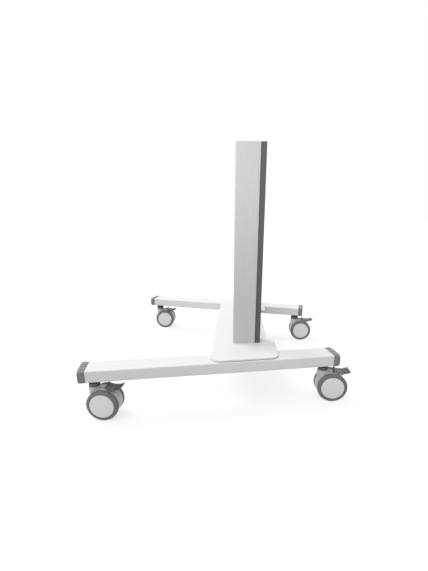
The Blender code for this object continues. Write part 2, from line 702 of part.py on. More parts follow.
def build_posts(root):
    profile, cover = post_profile_shape(), back_cover_shape()
    foot, head, screw = post_foot_shape(), post_head_shape(), post_screw_shape()
    for side, sign in SIDES.items():
        place = Vector((sign * POST_SPACING / 2, 0, 0))
        placed(f"post_{side}", profile, ANODISED, root, place)
        placed(f"post_cover_{side}", cover, DARK_COVER, root, place)
        placed(f"post_foot_{side}", foot, CAST_BLOCK, root, place)
        placed(f"post_head_{side}", head, CAST_BLOCK, root, place)
        for end, y in SCREWS.items():
            placed(f"post_screw_{end}_{side}", screw, ZINC_STEEL, root, place + Vector((0, y, 0)))


def build_casters(root):
    stem, hood, axle = stem_shape(), hood_shape(), axle_shape()
    hub, tyre, pedal, pin = hub_shape(), tyre_shape(), pedal_shape(), pedal_pin_shape()
    at_axle = (0, CASTER_TRAIL, AXLE_HEIGHT)
    at_pin = (0, PEDAL_PIN_Y, PEDAL_PIN_Z)
    for end, along in STEMS.items():
        for side in SIDES:
            spot = f"{end}_{side}"
            swivel = pivot(f"swivel_axis_{spot}", root, (*on_leg(side, along), 0))
            placed(f"caster_stem_{spot}", stem, BLACK_STEEL, swivel)
            placed(f"caster_hood_{spot}", hood, HOOD_GREY, swivel)
            placed(f"axle_{spot}", axle, ZINC_STEEL, swivel, at_axle)
            placed(f"brake_pedal_{spot}", pedal, PEDAL_GREY, swivel, at_pin)
            placed(f"pedal_pin_{spot}", pin, ZINC_STEEL, swivel, at_pin)
            for letter, turn in (("a", 0), ("b", math.pi)):
                placed(f"hub_{spot}_{letter}", hub, DISC_GREY, swivel, at_axle, turn)
                placed(f"tyre_{spot}_{letter}", tyre, TREAD_GREY, swivel, at_axle, turn)


def centre_over_origin(root):
    """Moves the stand so that the middle of its box, in plan, is over the world origin."""
    bpy.context.view_layer.update()
    corners = [thing.matrix_world @ Vector(corner)
               for thing in STAND.objects if thing.type == "MESH" for corner in thing.bound_box]
    root.location.x = -(min(c.x for c in corners) + max(c.x for c in corners)) / 2
    root.location.y = -(min(c.y for c in corners) + max(c.y for c in corners)) / 2


def build_stand():
    root = pivot("stand_root", None, (0, 0, 0))
    build_frame(root)
    build_posts(root)
    build_casters(root)
    for shape in list(CUTTERS.objects):
        bpy.data.objects.remove(shape)
    centre_over_origin(root)


build_stand()
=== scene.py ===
# %% [markdown]
# # A mobile screen stand
# The stand has two splayed steel legs on four twin-wheel casters, a flat steel plate that ties the
# legs, and two aluminium posts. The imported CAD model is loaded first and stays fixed. Each visible
# CAD solid is then given a finer piece that stands in the same place, or a better finish.

import math

import bmesh
import bpy
from mathutils import Matrix, Vector


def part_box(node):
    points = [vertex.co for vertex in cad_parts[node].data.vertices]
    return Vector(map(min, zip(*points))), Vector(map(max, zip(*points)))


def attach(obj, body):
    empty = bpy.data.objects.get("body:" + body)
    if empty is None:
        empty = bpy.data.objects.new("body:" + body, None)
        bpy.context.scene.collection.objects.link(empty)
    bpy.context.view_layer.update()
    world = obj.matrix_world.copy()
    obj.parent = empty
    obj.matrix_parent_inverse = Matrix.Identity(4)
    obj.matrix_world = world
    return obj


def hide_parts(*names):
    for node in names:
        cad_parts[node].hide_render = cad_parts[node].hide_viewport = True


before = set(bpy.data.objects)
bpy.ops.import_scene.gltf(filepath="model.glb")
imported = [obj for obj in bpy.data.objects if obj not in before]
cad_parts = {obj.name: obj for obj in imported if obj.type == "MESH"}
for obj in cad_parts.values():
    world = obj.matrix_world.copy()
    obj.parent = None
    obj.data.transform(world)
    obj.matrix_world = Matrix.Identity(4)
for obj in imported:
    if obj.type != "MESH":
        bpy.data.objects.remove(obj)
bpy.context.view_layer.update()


# %% [markdown]
# Colours are written as sRGB hex codes, as a colour picker shows them. Blender's shaders work in
# linear light, so one function turns a code into linear values. Sizes are in metres, and MM and
# MICRON make the small ones readable.

# %% Units and colours
MM = 0.001
MICRON = 0.000001


def linear(code):
    """A six-digit sRGB hex code as linear red, green and blue, with full alpha."""
    values = [int(code[start:start + 2], 16) / 255 for start in (0, 2, 4)]
    return (*[v / 12.92 if v <= 0.04045 else ((v + 0.055) / 1.055) ** 2.4 for v in values], 1.0)


print("mid grey 808080 in linear light:", round(linear("808080")[0], 3))

# %% [markdown]
# ## Materials
# A material is a small tree of nodes. It could be drawn by hand in the shader editor, but in code it
# can be read, changed and made again. One function adds a node, sets its properties and plain input
# values, and links other nodes' outputs to its inputs. A second one starts a material, and sets the
# plain values on its Principled shader's own sockets.

# %% Nodes and materials
def add_node(tree, kind, settings=None, links=None):
    """A new node, with its settings and links given by property, or by input name or number."""
    node = tree.nodes.new(kind)
    for name, value in (settings or {}).items():
        if isinstance(name, str) and hasattr(node, name):
            setattr(node, name, value)
        else:
            node.inputs[name].default_value = value
    for name, socket in (links or {}).items():
        tree.links.new(socket, node.inputs[name])
    return node


def new_material(name, values):
    """A material with its Principled shader's sockets set, and its node tree."""
    material = bpy.data.materials.new(name)
    material.use_nodes = True
    for socket, value in values.items():
        material.node_tree.nodes["Principled BSDF"].inputs[socket].default_value = value
    return material, material.node_tree


print("helpers for nodes and materials are ready")

# %% [markdown]
# Each finish varies a little in tone, in sheen and in relief. Images could drive that, but they need
# unwrapped meshes. A pattern that is worked out from the place on the object needs none, and its
# scale can be a real size. Most values of a noise lie between a third and two thirds, so that part
# of it is spread over the two tones. The relief is a bump, because it is only microns high.

# %% Tone, sheen and relief
PATTERN_LOW, PATTERN_HIGH = 0.35, 0.65
COLOUR_A, COLOUR_B, COLOUR_RESULT = 6, 7, 2    # numbers of the Mix node's sockets for colours


def object_place(tree, stretch=(1.0, 1.0, 1.0)):
    """The point on the object, in metres, with each direction stretched or squeezed."""
    place = add_node(tree, "ShaderNodeTexCoord")
    mapping = add_node(tree, "ShaderNodeMapping", {"Scale": stretch}, {"Vector": place.outputs["Object"]})
    return mapping.outputs[0]


def dress(tree, tones, sheen, relief):
    """Links patterns to the tree's shader. Tones are a pattern, a light and a dark colour. Sheen is
    a pattern, the least and the most roughness. Relief is a pattern, a height and a strength."""
    shader = tree.nodes["Principled BSDF"]
    pattern, light, dark = tones
    share = add_node(tree, "ShaderNodeMapRange", {"From Min": PATTERN_LOW, "From Max": PATTERN_HIGH},
                     {"Value": pattern})
    tone = add_node(tree, "ShaderNodeMix",
                    {"data_type": "RGBA", COLOUR_A: linear(dark), COLOUR_B: linear(light)},
                    {"Factor": share.outputs[0]})
    tree.links.new(tone.outputs[COLOUR_RESULT], shader.inputs["Base Color"])
    pattern, least, most = sheen
    spread = add_node(tree, "ShaderNodeMapRange", {"To Min": least, "To Max": most}, {"Value": pattern})
    tree.links.new(spread.outputs[0], shader.inputs["Roughness"])
    pattern, height, strength = relief
    bump = add_node(tree, "ShaderNodeBump", {"Strength": strength, "Distance": height}, {"Height": pattern})
    tree.links.new(bump.outputs[0], shader.inputs["Normal"])


print("noise values from", PATTERN_LOW, "to", PATTERN_HIGH, "spread over two tones")

# %% [markdown]
# ## Powder-coated steel
# The legs and the plate are steel with a white polyester powder coat, baked on. The powder flows
# into a skin with a fine orange peel, with bumps 1 to 2 mm apart and a few microns high. The eye
# gets a satin white with soft highlights that break up a little. A noise pattern at that spacing
# drives a shallow bump, and a slow one changes the tone and the roughness a little. Modelled bumps
# would need millions of faces for the same look.

# %% White powder coat
POWDER_PEEL = 1.6 * MM
POWDER_PATCH = 90 * MM
powder_coat, tree = new_material("white_polyester_powder_coat", {"IOR": 1.5, "Metallic": 0.0})
place = object_place(tree)
peel = add_node(tree, "ShaderNodeTexNoise", {"Scale": 1 / POWDER_PEEL, "Detail": 1.5}, {"Vector": place})
patch = add_node(tree, "ShaderNodeTexNoise", {"Scale": 1 / POWDER_PATCH, "Detail": 3.0}, {"Vector": place})
dress(tree, tones=(patch.outputs[0], "EBEBEC", "E8E8E9"), sheen=(patch.outputs[0], 0.34, 0.5),
      relief=(peel.outputs[0], 9 * MICRON, 0.6))
print("made", powder_coat.name)

# %% [markdown]
# ## Extruded profiles
# The posts are extruded aluminium, matt etched and anodised silver, and their back covers are
# extruded in a dark grey plastic. Extruding leaves fine lines along the length, here up the post, a
# few tenths of a millimetre apart. They are drawn 1.2 mm apart, because finer ones would not show.
# A wave pattern would make them too even, so noise that is stretched fifty times along Z gives them.

# %% Anodised aluminium and extruded plastic
DRAWN_LINE = 1.2 * MM
LINE_STRETCH = 0.02
LINE_STRENGTH = 0.5


def extruded(name, values, detail, light, dark, sheen, depth):
    """A finish whose fine lines run up the part."""
    material, tree = new_material(name, values)
    place = object_place(tree, (1.0, 1.0, LINE_STRETCH))
    noise = add_node(tree, "ShaderNodeTexNoise", {"Scale": 1 / DRAWN_LINE, "Detail": detail},
                     {"Vector": place})
    lines = noise.outputs[0]
    dress(tree, (lines, light, dark), (lines, *sheen), (lines, depth, LINE_STRENGTH))
    print("made", name)
    return material


# The etch makes this metal look nearly like a pale grey paint, so its metallic value is low.
anodised = extruded("silver_anodised_aluminium", {"Metallic": 0.12}, 3.0, "C8C8CA", "C2C2C4",
                    sheen=(0.54, 0.66), depth=6 * MICRON)
# Plastic with no metal in it is matt, and its lines show only as a faint change of sheen.
dark_plastic = extruded("dark_grey_extruded_pvc", {"Metallic": 0.0, "IOR": 1.53}, 2.0, "545456", "4F4F51",
                        sheen=(0.42, 0.55), depth=5 * MICRON)

# %% [markdown]
# ## Moulded plastics and the soft tread
# End caps, hoods, wheel discs and pedals are injection moulded, and each mould is spark eroded to a
# grain of about half a millimetre. The grain takes the shine off and hides flow marks. Noise alone
# would look like sand, so a cell pattern gives the grain, and a slower noise gives a slight
# unevenness of colour. One function makes them all, with their own colours, grain and sheen.

# %% Moulded finishes
CLOUD_SIZE = 14 * MM
CLOUD_DETAIL = 4.0
GRAIN_STRENGTH = 0.7
GLOSSIER, DULLER = 0.05, 0.07    # how far the roughness strays from its middle value


def moulded(name, light, dark, rough, grain, depth, ior):
    """A plastic with a grain of cells and a slight unevenness of colour."""
    material, tree = new_material(name, {"Metallic": 0.0, "IOR": ior})
    place = object_place(tree)
    cells = add_node(tree, "ShaderNodeTexVoronoi", {"feature": "SMOOTH_F1", "Scale": 1 / grain},
                     {"Vector": place})
    noise = add_node(tree, "ShaderNodeTexNoise", {"Scale": 1 / CLOUD_SIZE, "Detail": CLOUD_DETAIL},
                     {"Vector": place})
    cloud = noise.outputs[0]
    dress(tree, (cloud, light, dark), (cloud, rough - GLOSSIER, rough + DULLER),
          (cells.outputs["Distance"], depth, GRAIN_STRENGTH))
    print("made", name)
    return material


# Polypropylene has a soft, waxy sheen, and here a coarse grain.
cap_plastic = moulded("grey_grained_polypropylene", "828284", "7B7B7D",
                      rough=0.36, grain=0.6 * MM, depth=12 * MICRON, ior=1.49)
# Plain nylon looks a little milky and satin. The hoods are a light grey, and the discs nearly white.
hood_plastic = moulded("light_grey_nylon", "DADADC", "D4D4D6",
                       rough=0.4, grain=0.5 * MM, depth=6 * MICRON, ior=1.53)
disc_plastic = moulded("pale_grey_nylon", "F3F3F4", "F0F0F1",
                       rough=0.38, grain=0.5 * MM, depth=4 * MICRON, ior=1.53)
# Glass fibre in the pedals' nylon makes its skin drier and its grain deeper.
pedal_plastic = moulded("dark_grey_glass_filled_nylon", "707072", "68686A",
                        rough=0.42, grain=0.7 * MM, depth=14 * MICRON, ior=1.53)
# The soft tread is the mattest of all, and hardly shines.
tread_rubber = moulded("grey_thermoplastic_rubber", "7C7C7D", "747475",
                       rough=0.62, grain=0.8 * MM, depth=9 * MICRON, ior=1.5)

# %% [markdown]
# ## Metals of the small parts
# Nuts, screws, axles and pins are zinc-plated steel. The caster's bearing cup is dark steel,
# coloured darker still as painted shade for the shadow that the leg casts on the collar's top, and
# its ring has a thinner, greyer finish. The blocks in the posts' two ends are cast aluminium,
# tumbled. A plain metallic shader would look like chrome, so noise at the size of the crystals or
# pebbles breaks up each surface. A metal keeps Blender's default IOR.

# %% Zinc, black steel and cast aluminium
CRYSTAL_DETAIL = 4.0
CRYSTAL_STRENGTH = 0.6
BRIGHTER, FLATTER = 0.06, 0.08    # how far the roughness strays from its middle value


def metal(name, light, dark, metallic, rough, grain, depth):
    """A metal or a metal finish with crystals or pebbles of a size."""
    material, tree = new_material(name, {"Metallic": metallic})
    noise = add_node(tree, "ShaderNodeTexNoise", {"Scale": 1 / grain, "Detail": CRYSTAL_DETAIL},
                     {"Vector": object_place(tree)})
    crystals = noise.outputs[0]
    dress(tree, (crystals, light, dark), (crystals, rough - BRIGHTER, rough + FLATTER),
          (crystals, depth, CRYSTAL_STRENGTH))
    print("made", name)
    return material


# Bright zinc is a cool, pale metal with a fine crystal sparkle.
zinc = metal("bright_zinc_plated_steel", "C9CBCE", "B7BABD",
             metallic=1.0, rough=0.3, grain=1.0 * MM, depth=4 * MICRON)
# These two finishes hide most of the steel, so the surface is dark and satin with little reflection.
# The cup's near-black tone is also painted shade, for the leg's shadow on the collar's top.
cup_steel_painted_shade = metal("dark_steel_with_painted_shade", "343436", "2C2C2E",
                    metallic=0.35, rough=0.42, grain=0.9 * MM, depth=5 * MICRON)
ring_steel = metal("grey_phosphated_steel", "6E6E70", "626264",
                   metallic=0.35, rough=0.48, grain=0.9 * MM, depth=6 * MICRON)
# Tumbling leaves the casting with a dull, pebbled skin.
cast_metal = metal("tumbled_cast_aluminium", "B4B4B6", "A2A2A4",
                   metallic=0.85, rough=0.5, grain=1.4 * MM, depth=40 * MICRON)

# %% [markdown]
# ## Shapes from outlines
# Tube, plate and profile all start from an outline with rounded corners. A Blender curve could give
# one, but a drawing gives corners and radii. The function below turns a list of corners, each with
# its x, y and radius, into points, with an arc at each round corner.

# %% Outlines
def rounded(corners, steps=8):
    """Points of an outline whose corners are (x, y, radius), with the arcs in a number of steps."""
    points = []
    for index, (x, y, radius) in enumerate(corners):
        here = Vector((x, y))
        if radius <= 0:
            points.append(here)
            continue
        before = (Vector(corners[index - 1][:2]) - here).normalized()
        after = (Vector(corners[(index + 1) % len(corners)][:2]) - here).normalized()
        half_angle = before.angle(after) / 2
        centre = here + (before + after).normalized() * radius / math.sin(half_angle)
        start = here + before * radius / math.tan(half_angle) - centre
        turn = start.angle_signed(here + after * radius / math.tan(half_angle) - centre)
        points += [centre + Matrix.Rotation(-turn * step / steps, 2) @ start for step in range(steps + 1)]
    return points


def rectangle(width, height, radius, steps=8):
    """Points of a rectangle about the origin, with its four corners rounded."""
    x, y = width / 2, height / 2
    return rounded([(-x, -y, radius), (x, -y, radius), (x, y, radius), (-x, y, radius)], steps)


print("points round a rectangle with round corners:", len(rectangle(2, 1, 0.1)))

# %% [markdown]
# A bmesh is a mesh that code builds point by point, but modifiers work only on objects. So a shape
# is made an object for a moment, its modifiers run, and the result is kept as a mesh. The shading is
# smooth except at sharp bends, and weighted normals keep the big faces flat, as they are on real
# tube and plate. Subdivision would be smooth too, but would soften edges that are crisp here.

# %% Finished meshes
SHARP_BEND = math.radians(40)


def linked(name, data):
    """A new object in the scene, made of a mesh, light or camera."""
    thing = bpy.data.objects.new(name, data)
    bpy.context.scene.collection.objects.link(thing)
    return thing


def loose(name, shape):
    """Turns a bmesh into an object, so that a modifier can work on it."""
    bmesh.ops.recalc_face_normals(shape, faces=shape.faces)
    mesh = bpy.data.meshes.new(name)
    shape.to_mesh(mesh)
    shape.free()
    return linked(name, mesh)


def with_modifiers(thing):
    """The object as its modifiers leave it."""
    bpy.context.view_layer.update()
    return thing.evaluated_get(bpy.context.evaluated_depsgraph_get())


def new_mesh(name, shape, material):
    """A bmesh as a finished mesh with a material, ready to be shared by objects."""
    thing = loose("unfinished", shape)
    thing.data.materials.append(material)
    thing.data.shade_smooth()
    thing.data.set_sharp_from_angle(angle=SHARP_BEND)
    weighted = thing.modifiers.new("flat", "WEIGHTED_NORMAL")
    weighted.keep_sharp = True
    mesh = bpy.data.meshes.new_from_object(with_modifiers(thing))
    mesh.name = name
    bpy.data.meshes.remove(thing.data)
    return mesh


print("bends over", round(math.degrees(SHARP_BEND)), "degrees are shaded sharp")

# %% [markdown]
# A prism is an outline pushed along Z. Its two rims are bevelled, because no real edge is sharp, and
# the small round catches the light. A Bevel modifier would round every edge alike, so the bevel here
# works on the edges of one rim at a time, each with its own width.

# %% Prisms
def add_prism(shape, outline, low, high, top_round=0.0, bottom_round=0.0, segments=3):
    """Adds an outline pushed from one height to another, with rounded rims."""
    lower = [shape.verts.new((p[0], p[1], low)) for p in outline]
    upper = [shape.verts.new((p[0], p[1], high)) for p in outline]
    count = len(outline)
    shape.faces.new(list(reversed(lower)))
    shape.faces.new(upper)
    for index in range(count):
        following = (index + 1) % count
        shape.faces.new((lower[index], lower[following], upper[following], upper[index]))
    for ring, width in ((upper, top_round), (lower, bottom_round)):
        if width > 0:
            rim = [shape.edges.get((ring[i], ring[(i + 1) % count])) for i in range(count)]
            bmesh.ops.bevel(shape, geom=rim, offset=width, segments=segments, profile=0.5, affect="EDGES")


print("the prism helper is ready")

# %% [markdown]
# ## Setting pieces in place
# A mesh is made once, about its own origin, and shared by every copy. Joined copies would be less to
# write, but separate objects can ride on different bodies. Each copy has a matrix, rides on a CAD
# body, and replaces the CAD nodes that it stands for. Places are read from the CAD boxes, so the
# pieces go where the imported model says.

# %% Placing a piece
def put(name, mesh, matrix, body, slot, *nodes):
    """Sets a piece made of a mesh in its place, on a body, to stand for some CAD nodes."""
    piece = linked(name, mesh)
    piece.matrix_world = matrix
    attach(piece, body)
    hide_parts(*nodes)


# %% Places of legs, posts and casters
SIDES = {"right": 1, "left": -1}
JOINT = 0.3 * MM    # the gap between two pieces, which shows as a thin dark line
LEG_SPLAY = math.radians(11.9)
LEG_HALF_SPACING = 268.4 * MM
LEG_UNDERSIDE, LEG_TOP = (corner.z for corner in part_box("leg_right"))
POST_BOTTOM, POST_TOP = (corner.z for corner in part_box("post_right"))
DATUM_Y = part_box("post_right")[0].y    # the posts' front faces
PLATE_BOTTOM = LEG_TOP + JOINT
PLATE_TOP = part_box("base_plate")[1].z

leg_place, post_place, caster_place = {}, {}, {}
for side, sign in SIDES.items():
    beside_middle = Matrix.Translation((sign * LEG_HALF_SPACING, DATUM_Y, LEG_UNDERSIDE))
    leg_place[side] = beside_middle @ Matrix.Rotation(sign * LEG_SPLAY, 4, "Z")
    lowest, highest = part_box(f"post_{side}")
    post_place[side] = Matrix.Translation(((lowest.x + highest.x) / 2, DATUM_Y, 0))
SPOTS = [f"{end}_{side}" for end in ("front", "rear") for side in SIDES]
for spot in SPOTS:
    lowest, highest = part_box(f"caster_stem_{spot}")
    caster_place[spot] = Matrix.Translation(((lowest.x + highest.x) / 2, (lowest.y + highest.y) / 2, 0))
print("post bottom and top in mm:", round(POST_BOTTOM / MM, 1), round(POST_TOP / MM, 1))

# %% [markdown]
# ## Legs
# Each leg is one length of rectangular welded tube, 55 by 28 mm, whose corners have a radius of just
# under 3 mm. A cube with a Bevel modifier could look like it, but the drawn section has the tube's
# own radius whatever its length. Eight steps round each corner make the long soft highlight that
# runs down the tube. The ends are under the caps, so the tube is simply closed there.

# %% Leg tubes
LEG_WIDTH = 55 * MM
LEG_HEIGHT = LEG_TOP - LEG_UNDERSIDE
LEG_CORNER = 2.8 * MM
LEG_AHEAD = 336.4 * MM    # along the leg, from the posts' front faces to its front end
LEG_BEHIND = 249 * MM     # and to its rear end
SAWN_EDGE = 0.3 * MM


def laid_back(shape):
    """Turns a prism that stands on the origin so that it points to the rear, inside the leg's height."""
    half_height = Matrix.Translation((0, 0, LEG_HEIGHT / 2))
    bmesh.ops.transform(shape, verts=shape.verts, matrix=half_height @ Matrix.Rotation(-math.pi / 2, 4, "X"))
    return shape


tube = bmesh.new()
section = rectangle(LEG_WIDTH, LEG_HEIGHT, LEG_CORNER)
add_prism(tube, section, -LEG_AHEAD, LEG_BEHIND, top_round=SAWN_EDGE, bottom_round=SAWN_EDGE, segments=1)
leg_mesh = new_mesh("leg_tube", laid_back(tube), powder_coat)
for side in SIDES:
    put(f"leg_tube_{side}", leg_mesh, leg_place[side], "root", "white_powder_coat", f"leg_{side}")
print("leg tube faces:", len(leg_mesh.polygons))

# %% [markdown]
# ## End caps
# A cap is one moulding, a head with a plug that is hidden in the tube, so only the head is made. It
# stands 15 mm out of the tube and is a little bigger all round. Its outer rim has a radius of 3 mm,
# and the rim against the tube has a small one, which makes the thin dark joint. One prism with two
# different rims gives both, where a subdivided box would round them alike.

# %% Caps on the tube ends
CAP_LENGTH = 15.2 * MM
CAP_PROUD = 1.2 * MM
CAP_CORNER = 5.4 * MM
CAP_OUTER_RIM, CAP_INNER_RIM = 3 * MM, 0.4 * MM

cap = bmesh.new()
section = rectangle(LEG_WIDTH + 2 * CAP_PROUD, LEG_HEIGHT + 2 * CAP_PROUD, CAP_CORNER, steps=6)
add_prism(cap, section, JOINT, CAP_LENGTH, top_round=CAP_OUTER_RIM, bottom_round=CAP_INNER_RIM, segments=5)
cap_mesh = new_mesh("cap_head", laid_back(cap), cap_plastic)
for side in SIDES:
    at_front = Matrix.Translation((0, -LEG_AHEAD, 0)) @ Matrix.Rotation(math.pi, 4, "Z")
    at_rear = Matrix.Translation((0, LEG_BEHIND, 0))
    for end, matrix in (("front", at_front), ("rear", at_rear)):
        put(f"cap_head_{end}_{side}", cap_mesh, leg_place[side] @ matrix, "root", "grey_polypropylene",
            f"end_cap_{end}_{side}")
print("cap faces:", len(cap_mesh.polygons))

# %% [markdown]
# ## Base plate
# The plate is laser-cut steel, 4.4 mm thick, with two pads over the legs and a narrower middle. Its
# outer corners have a radius of 25 mm, and the powder coat rounds the cut edge by under a
# millimetre. Below it, the rim is set back a little, which gives the thin dark line between plate
# and leg. The set-back rim could be cut away, but two stacked prisms from one outline are simpler. A
# boolean joins them into one body.

# %% Booleans
def cut(shape_one, shape_two, operation):
    """Boolean of two bmeshes, as a new bmesh."""
    things = [loose("part_of_cut", shape_one), loose("part_of_cut", shape_two)]
    boolean = things[0].modifiers.new("cut", "BOOLEAN")
    boolean.operation = operation
    boolean.solver = "EXACT"
    boolean.object = things[1]
    result = bmesh.new()
    result.from_mesh(with_modifiers(things[0]).to_mesh())
    for thing in things:
        bpy.data.meshes.remove(thing.data)
    bmesh.ops.remove_doubles(result, verts=result.verts, dist=MICRON)
    return result


def symmetric(right_half):
    """Corners (x, y, radius) of a right half, with their mirror images on the left."""
    return right_half + [(-x, y, radius) for x, y, radius in reversed(right_half)]


print("corners of a square from two of them:", len(symmetric([(1, 0, 0), (1, 1, 0)])))

# %% Plate
PLATE_FRONT = 53 * MM      # ahead of the posts' front faces
PAD_REAR = 112 * MM        # behind them, at the pads
SPINE_REAR = 92 * MM       # behind them, at the narrow middle
PAD_INNER = 146.5 * MM     # half the space between the pads
PLATE_INSET = 2.5 * MM     # from the leg's outer side
PLATE_CORNER, STEP_CORNER = 25 * MM, 6 * MM
RIM_GAP, RIM_INSET = 1.4 * MM, 3.5 * MM
UPPER_RIM, LOWER_RIM = 0.7 * MM, 0.15 * MM


def plate_edge(y):
    """Half the plate's width at a distance behind the posts' front faces."""
    half_leg = (LEG_WIDTH / 2 - PLATE_INSET) / math.cos(LEG_SPLAY)
    return LEG_HALF_SPACING - y * math.tan(LEG_SPLAY) + half_leg


def plate_outline(inset):
    """The plate's outline, drawn in from its edge all round."""
    aside = inset / math.cos(LEG_SPLAY)
    front, rear = -PLATE_FRONT + inset, PAD_REAR - inset
    spine, inner = SPINE_REAR - inset, PAD_INNER + inset
    return rounded(symmetric([(plate_edge(front) - aside, front, PLATE_CORNER - inset),
                              (plate_edge(rear) - aside, rear, PLATE_CORNER - inset),
                              (inner, rear, STEP_CORNER - inset),
                              (inner, spine, STEP_CORNER + inset)]), steps=14)


upper, lower = bmesh.new(), bmesh.new()
add_prism(upper, plate_outline(0), PLATE_BOTTOM + RIM_GAP, PLATE_TOP, UPPER_RIM, LOWER_RIM)
add_prism(lower, plate_outline(RIM_INSET), PLATE_BOTTOM, PLATE_BOTTOM + 2 * RIM_GAP)
plate_mesh = new_mesh("plate", cut(upper, lower, "UNION"), powder_coat)
put("plate", plate_mesh, Matrix.Translation((0, DATUM_Y, 0)), "root", "white_powder_coat", "base_plate")
print("plate faces:", len(plate_mesh.polygons))

# %% [markdown]
# ## Studs, nuts and screws
# Studs, screws, collars and wheels are round about an axis, whether they are really turned, cold
# formed or moulded, so each is one profile turned about it. Blender's Screw modifier turns a profile
# too. The helper here does it in mesh code, so that the shape can go straight into a boolean. A point
# on the axis becomes one shared point.

# %% Turned shapes
def add_turned(shape, profile, steps, closed=False):
    """Adds a profile of (radius, height) points turned about Z."""
    rings = []
    for radius, height in profile:
        if radius == 0:
            rings.append([shape.verts.new((0, 0, height))])
            continue
        angles = [2 * math.pi * step / steps for step in range(steps)]
        rings.append([shape.verts.new((radius * math.cos(a), radius * math.sin(a), height)) for a in angles])
    pairs = list(zip(rings, rings[1:])) + ([(rings[-1], rings[0])] if closed else [])
    for one, two in pairs:
        for step in range(steps):
            following = (step + 1) % steps
            loop = [one[step % len(one)], one[following % len(one)],
                    two[following % len(two)], two[step % len(two)]]
            shape.faces.new(list(dict.fromkeys(loop)))


print("a profile of (radius, height) points can be turned about Z")

# %% [markdown]
# Four threaded studs are welded under the plate's pads and come out below the legs, where a nut
# holds each one. A thread could be a helix, but only its last turns show, and small. Rings of the
# right pitch look the same there, so the profile steps in and out at every half turn.

# %% Stud ends
NUT_HEIGHT = 5 * MM
NUT_TOP = LEG_UNDERSIDE - JOINT
STUD_RADIUS = 4 * MM
STUD_INSIDE = 4 * MM    # how far the piece reaches up into the leg
STUD_TAIL = 0.8 * MM    # how far it comes out of the nut
STUD_TIP = 0.6 * MM
STUD_THREAD, STUD_HALF_TURNS = 0.35 * MM, 5
STUD_END = NUT_TOP - NUT_HEIGHT - STUD_TAIL
PITCH = 1.25 * MM


def thread(radius, depth, top, count):
    """Half turns of a thread from the top down, each second one deeper, as (radius, height)."""
    return [(radius - (depth if turn % 2 else 0), top - turn * PITCH / 2) for turn in range(count)]


stud = bmesh.new()
add_turned(stud, [(0, LEG_UNDERSIDE + STUD_INSIDE), (STUD_RADIUS, LEG_UNDERSIDE + STUD_INSIDE)]
           + thread(STUD_RADIUS, STUD_THREAD, NUT_TOP - NUT_HEIGHT + PITCH, STUD_HALF_TURNS)
           + [(STUD_RADIUS - STUD_TIP, STUD_END), (0, STUD_END)], steps=24)
stud_mesh = new_mesh("stud_end", stud, zinc)
print("stud faces:", len(stud_mesh.polygons))

# %% [markdown]
# The nuts are cold formed, with the six corners chamfered by a turned cone. Bevelling the hexagon
# would cut its edges straight, where the real chamfer is an arc on each flat. A boolean of a hexagon
# and a turned disc gives just that.

# %% Nuts
NUT_FLATS = 13 * MM
FACE_SHARE = 0.98    # of the flats' half width, that the chamfer leaves as a round face
NUT_FACE_RADIUS = NUT_FLATS / 2 * FACE_SHARE


def hexagon_radius(flats):
    """From a hexagon's middle to its corners, from its size across the flats."""
    return flats / 2 / math.cos(math.pi / 6)


corner = hexagon_radius(NUT_FLATS)
chamfer = corner - NUT_FACE_RADIUS
hexagon, cone = bmesh.new(), bmesh.new()
add_turned(hexagon, [(0, 0), (corner, 0), (corner, NUT_HEIGHT), (0, NUT_HEIGHT)], steps=6)
add_turned(cone, [(0, 0), (NUT_FACE_RADIUS, 0), (corner + chamfer, chamfer),
                  (corner + chamfer, NUT_HEIGHT - chamfer), (NUT_FACE_RADIUS, NUT_HEIGHT),
                  (0, NUT_HEIGHT)], steps=48)
nut = cut(hexagon, cone, "INTERSECT")
bmesh.ops.translate(nut, verts=nut.verts, vec=(0, 0, NUT_TOP - NUT_HEIGHT))
nut_mesh = new_mesh("leg_nut", nut, zinc)
print("nut faces:", len(nut_mesh.polygons))

# %% [markdown]
# The screws under the plate have round button heads with a hexagon socket. Half a sphere would be
# too high, so the head is turned from a flatter arc, and the socket is cut out of it.

# %% Button heads
HEAD_RADIUS, HEAD_HEIGHT, HEAD_RIM = 7 * MM, 4.4 * MM, 0.25    # the rim is a share of the height
SOCKET_FLATS = 5 * MM
HEAD_TOP = PLATE_BOTTOM - JOINT
DOME_STEPS, FACE_STEPS = 8, 2    # steps of a quarter circle, and those that the flat face takes

dome = []
for step in range(FACE_STEPS, DOME_STEPS + 1):
    angle = math.radians(90 * step / DOME_STEPS)
    dome.append((HEAD_RADIUS * math.sin(angle),
                 -HEAD_HEIGHT * (HEAD_RIM + (1 - HEAD_RIM) * math.cos(angle))))
head, socket = bmesh.new(), bmesh.new()
add_turned(head, [(0, -HEAD_HEIGHT)] + dome + [(HEAD_RADIUS, 0), (0, 0)], steps=32)
corner = hexagon_radius(SOCKET_FLATS)
add_turned(socket, [(0, -2 * HEAD_HEIGHT), (corner, -2 * HEAD_HEIGHT),
                    (corner, -HEAD_HEIGHT / 2), (0, -HEAD_HEIGHT / 2)], steps=6)
screw = cut(head, socket, "DIFFERENCE")
bmesh.ops.translate(screw, verts=screw.verts, vec=(0, 0, HEAD_TOP))
screw_mesh = new_mesh("button_head", screw, zinc)
print("screw faces:", len(screw_mesh.polygons))

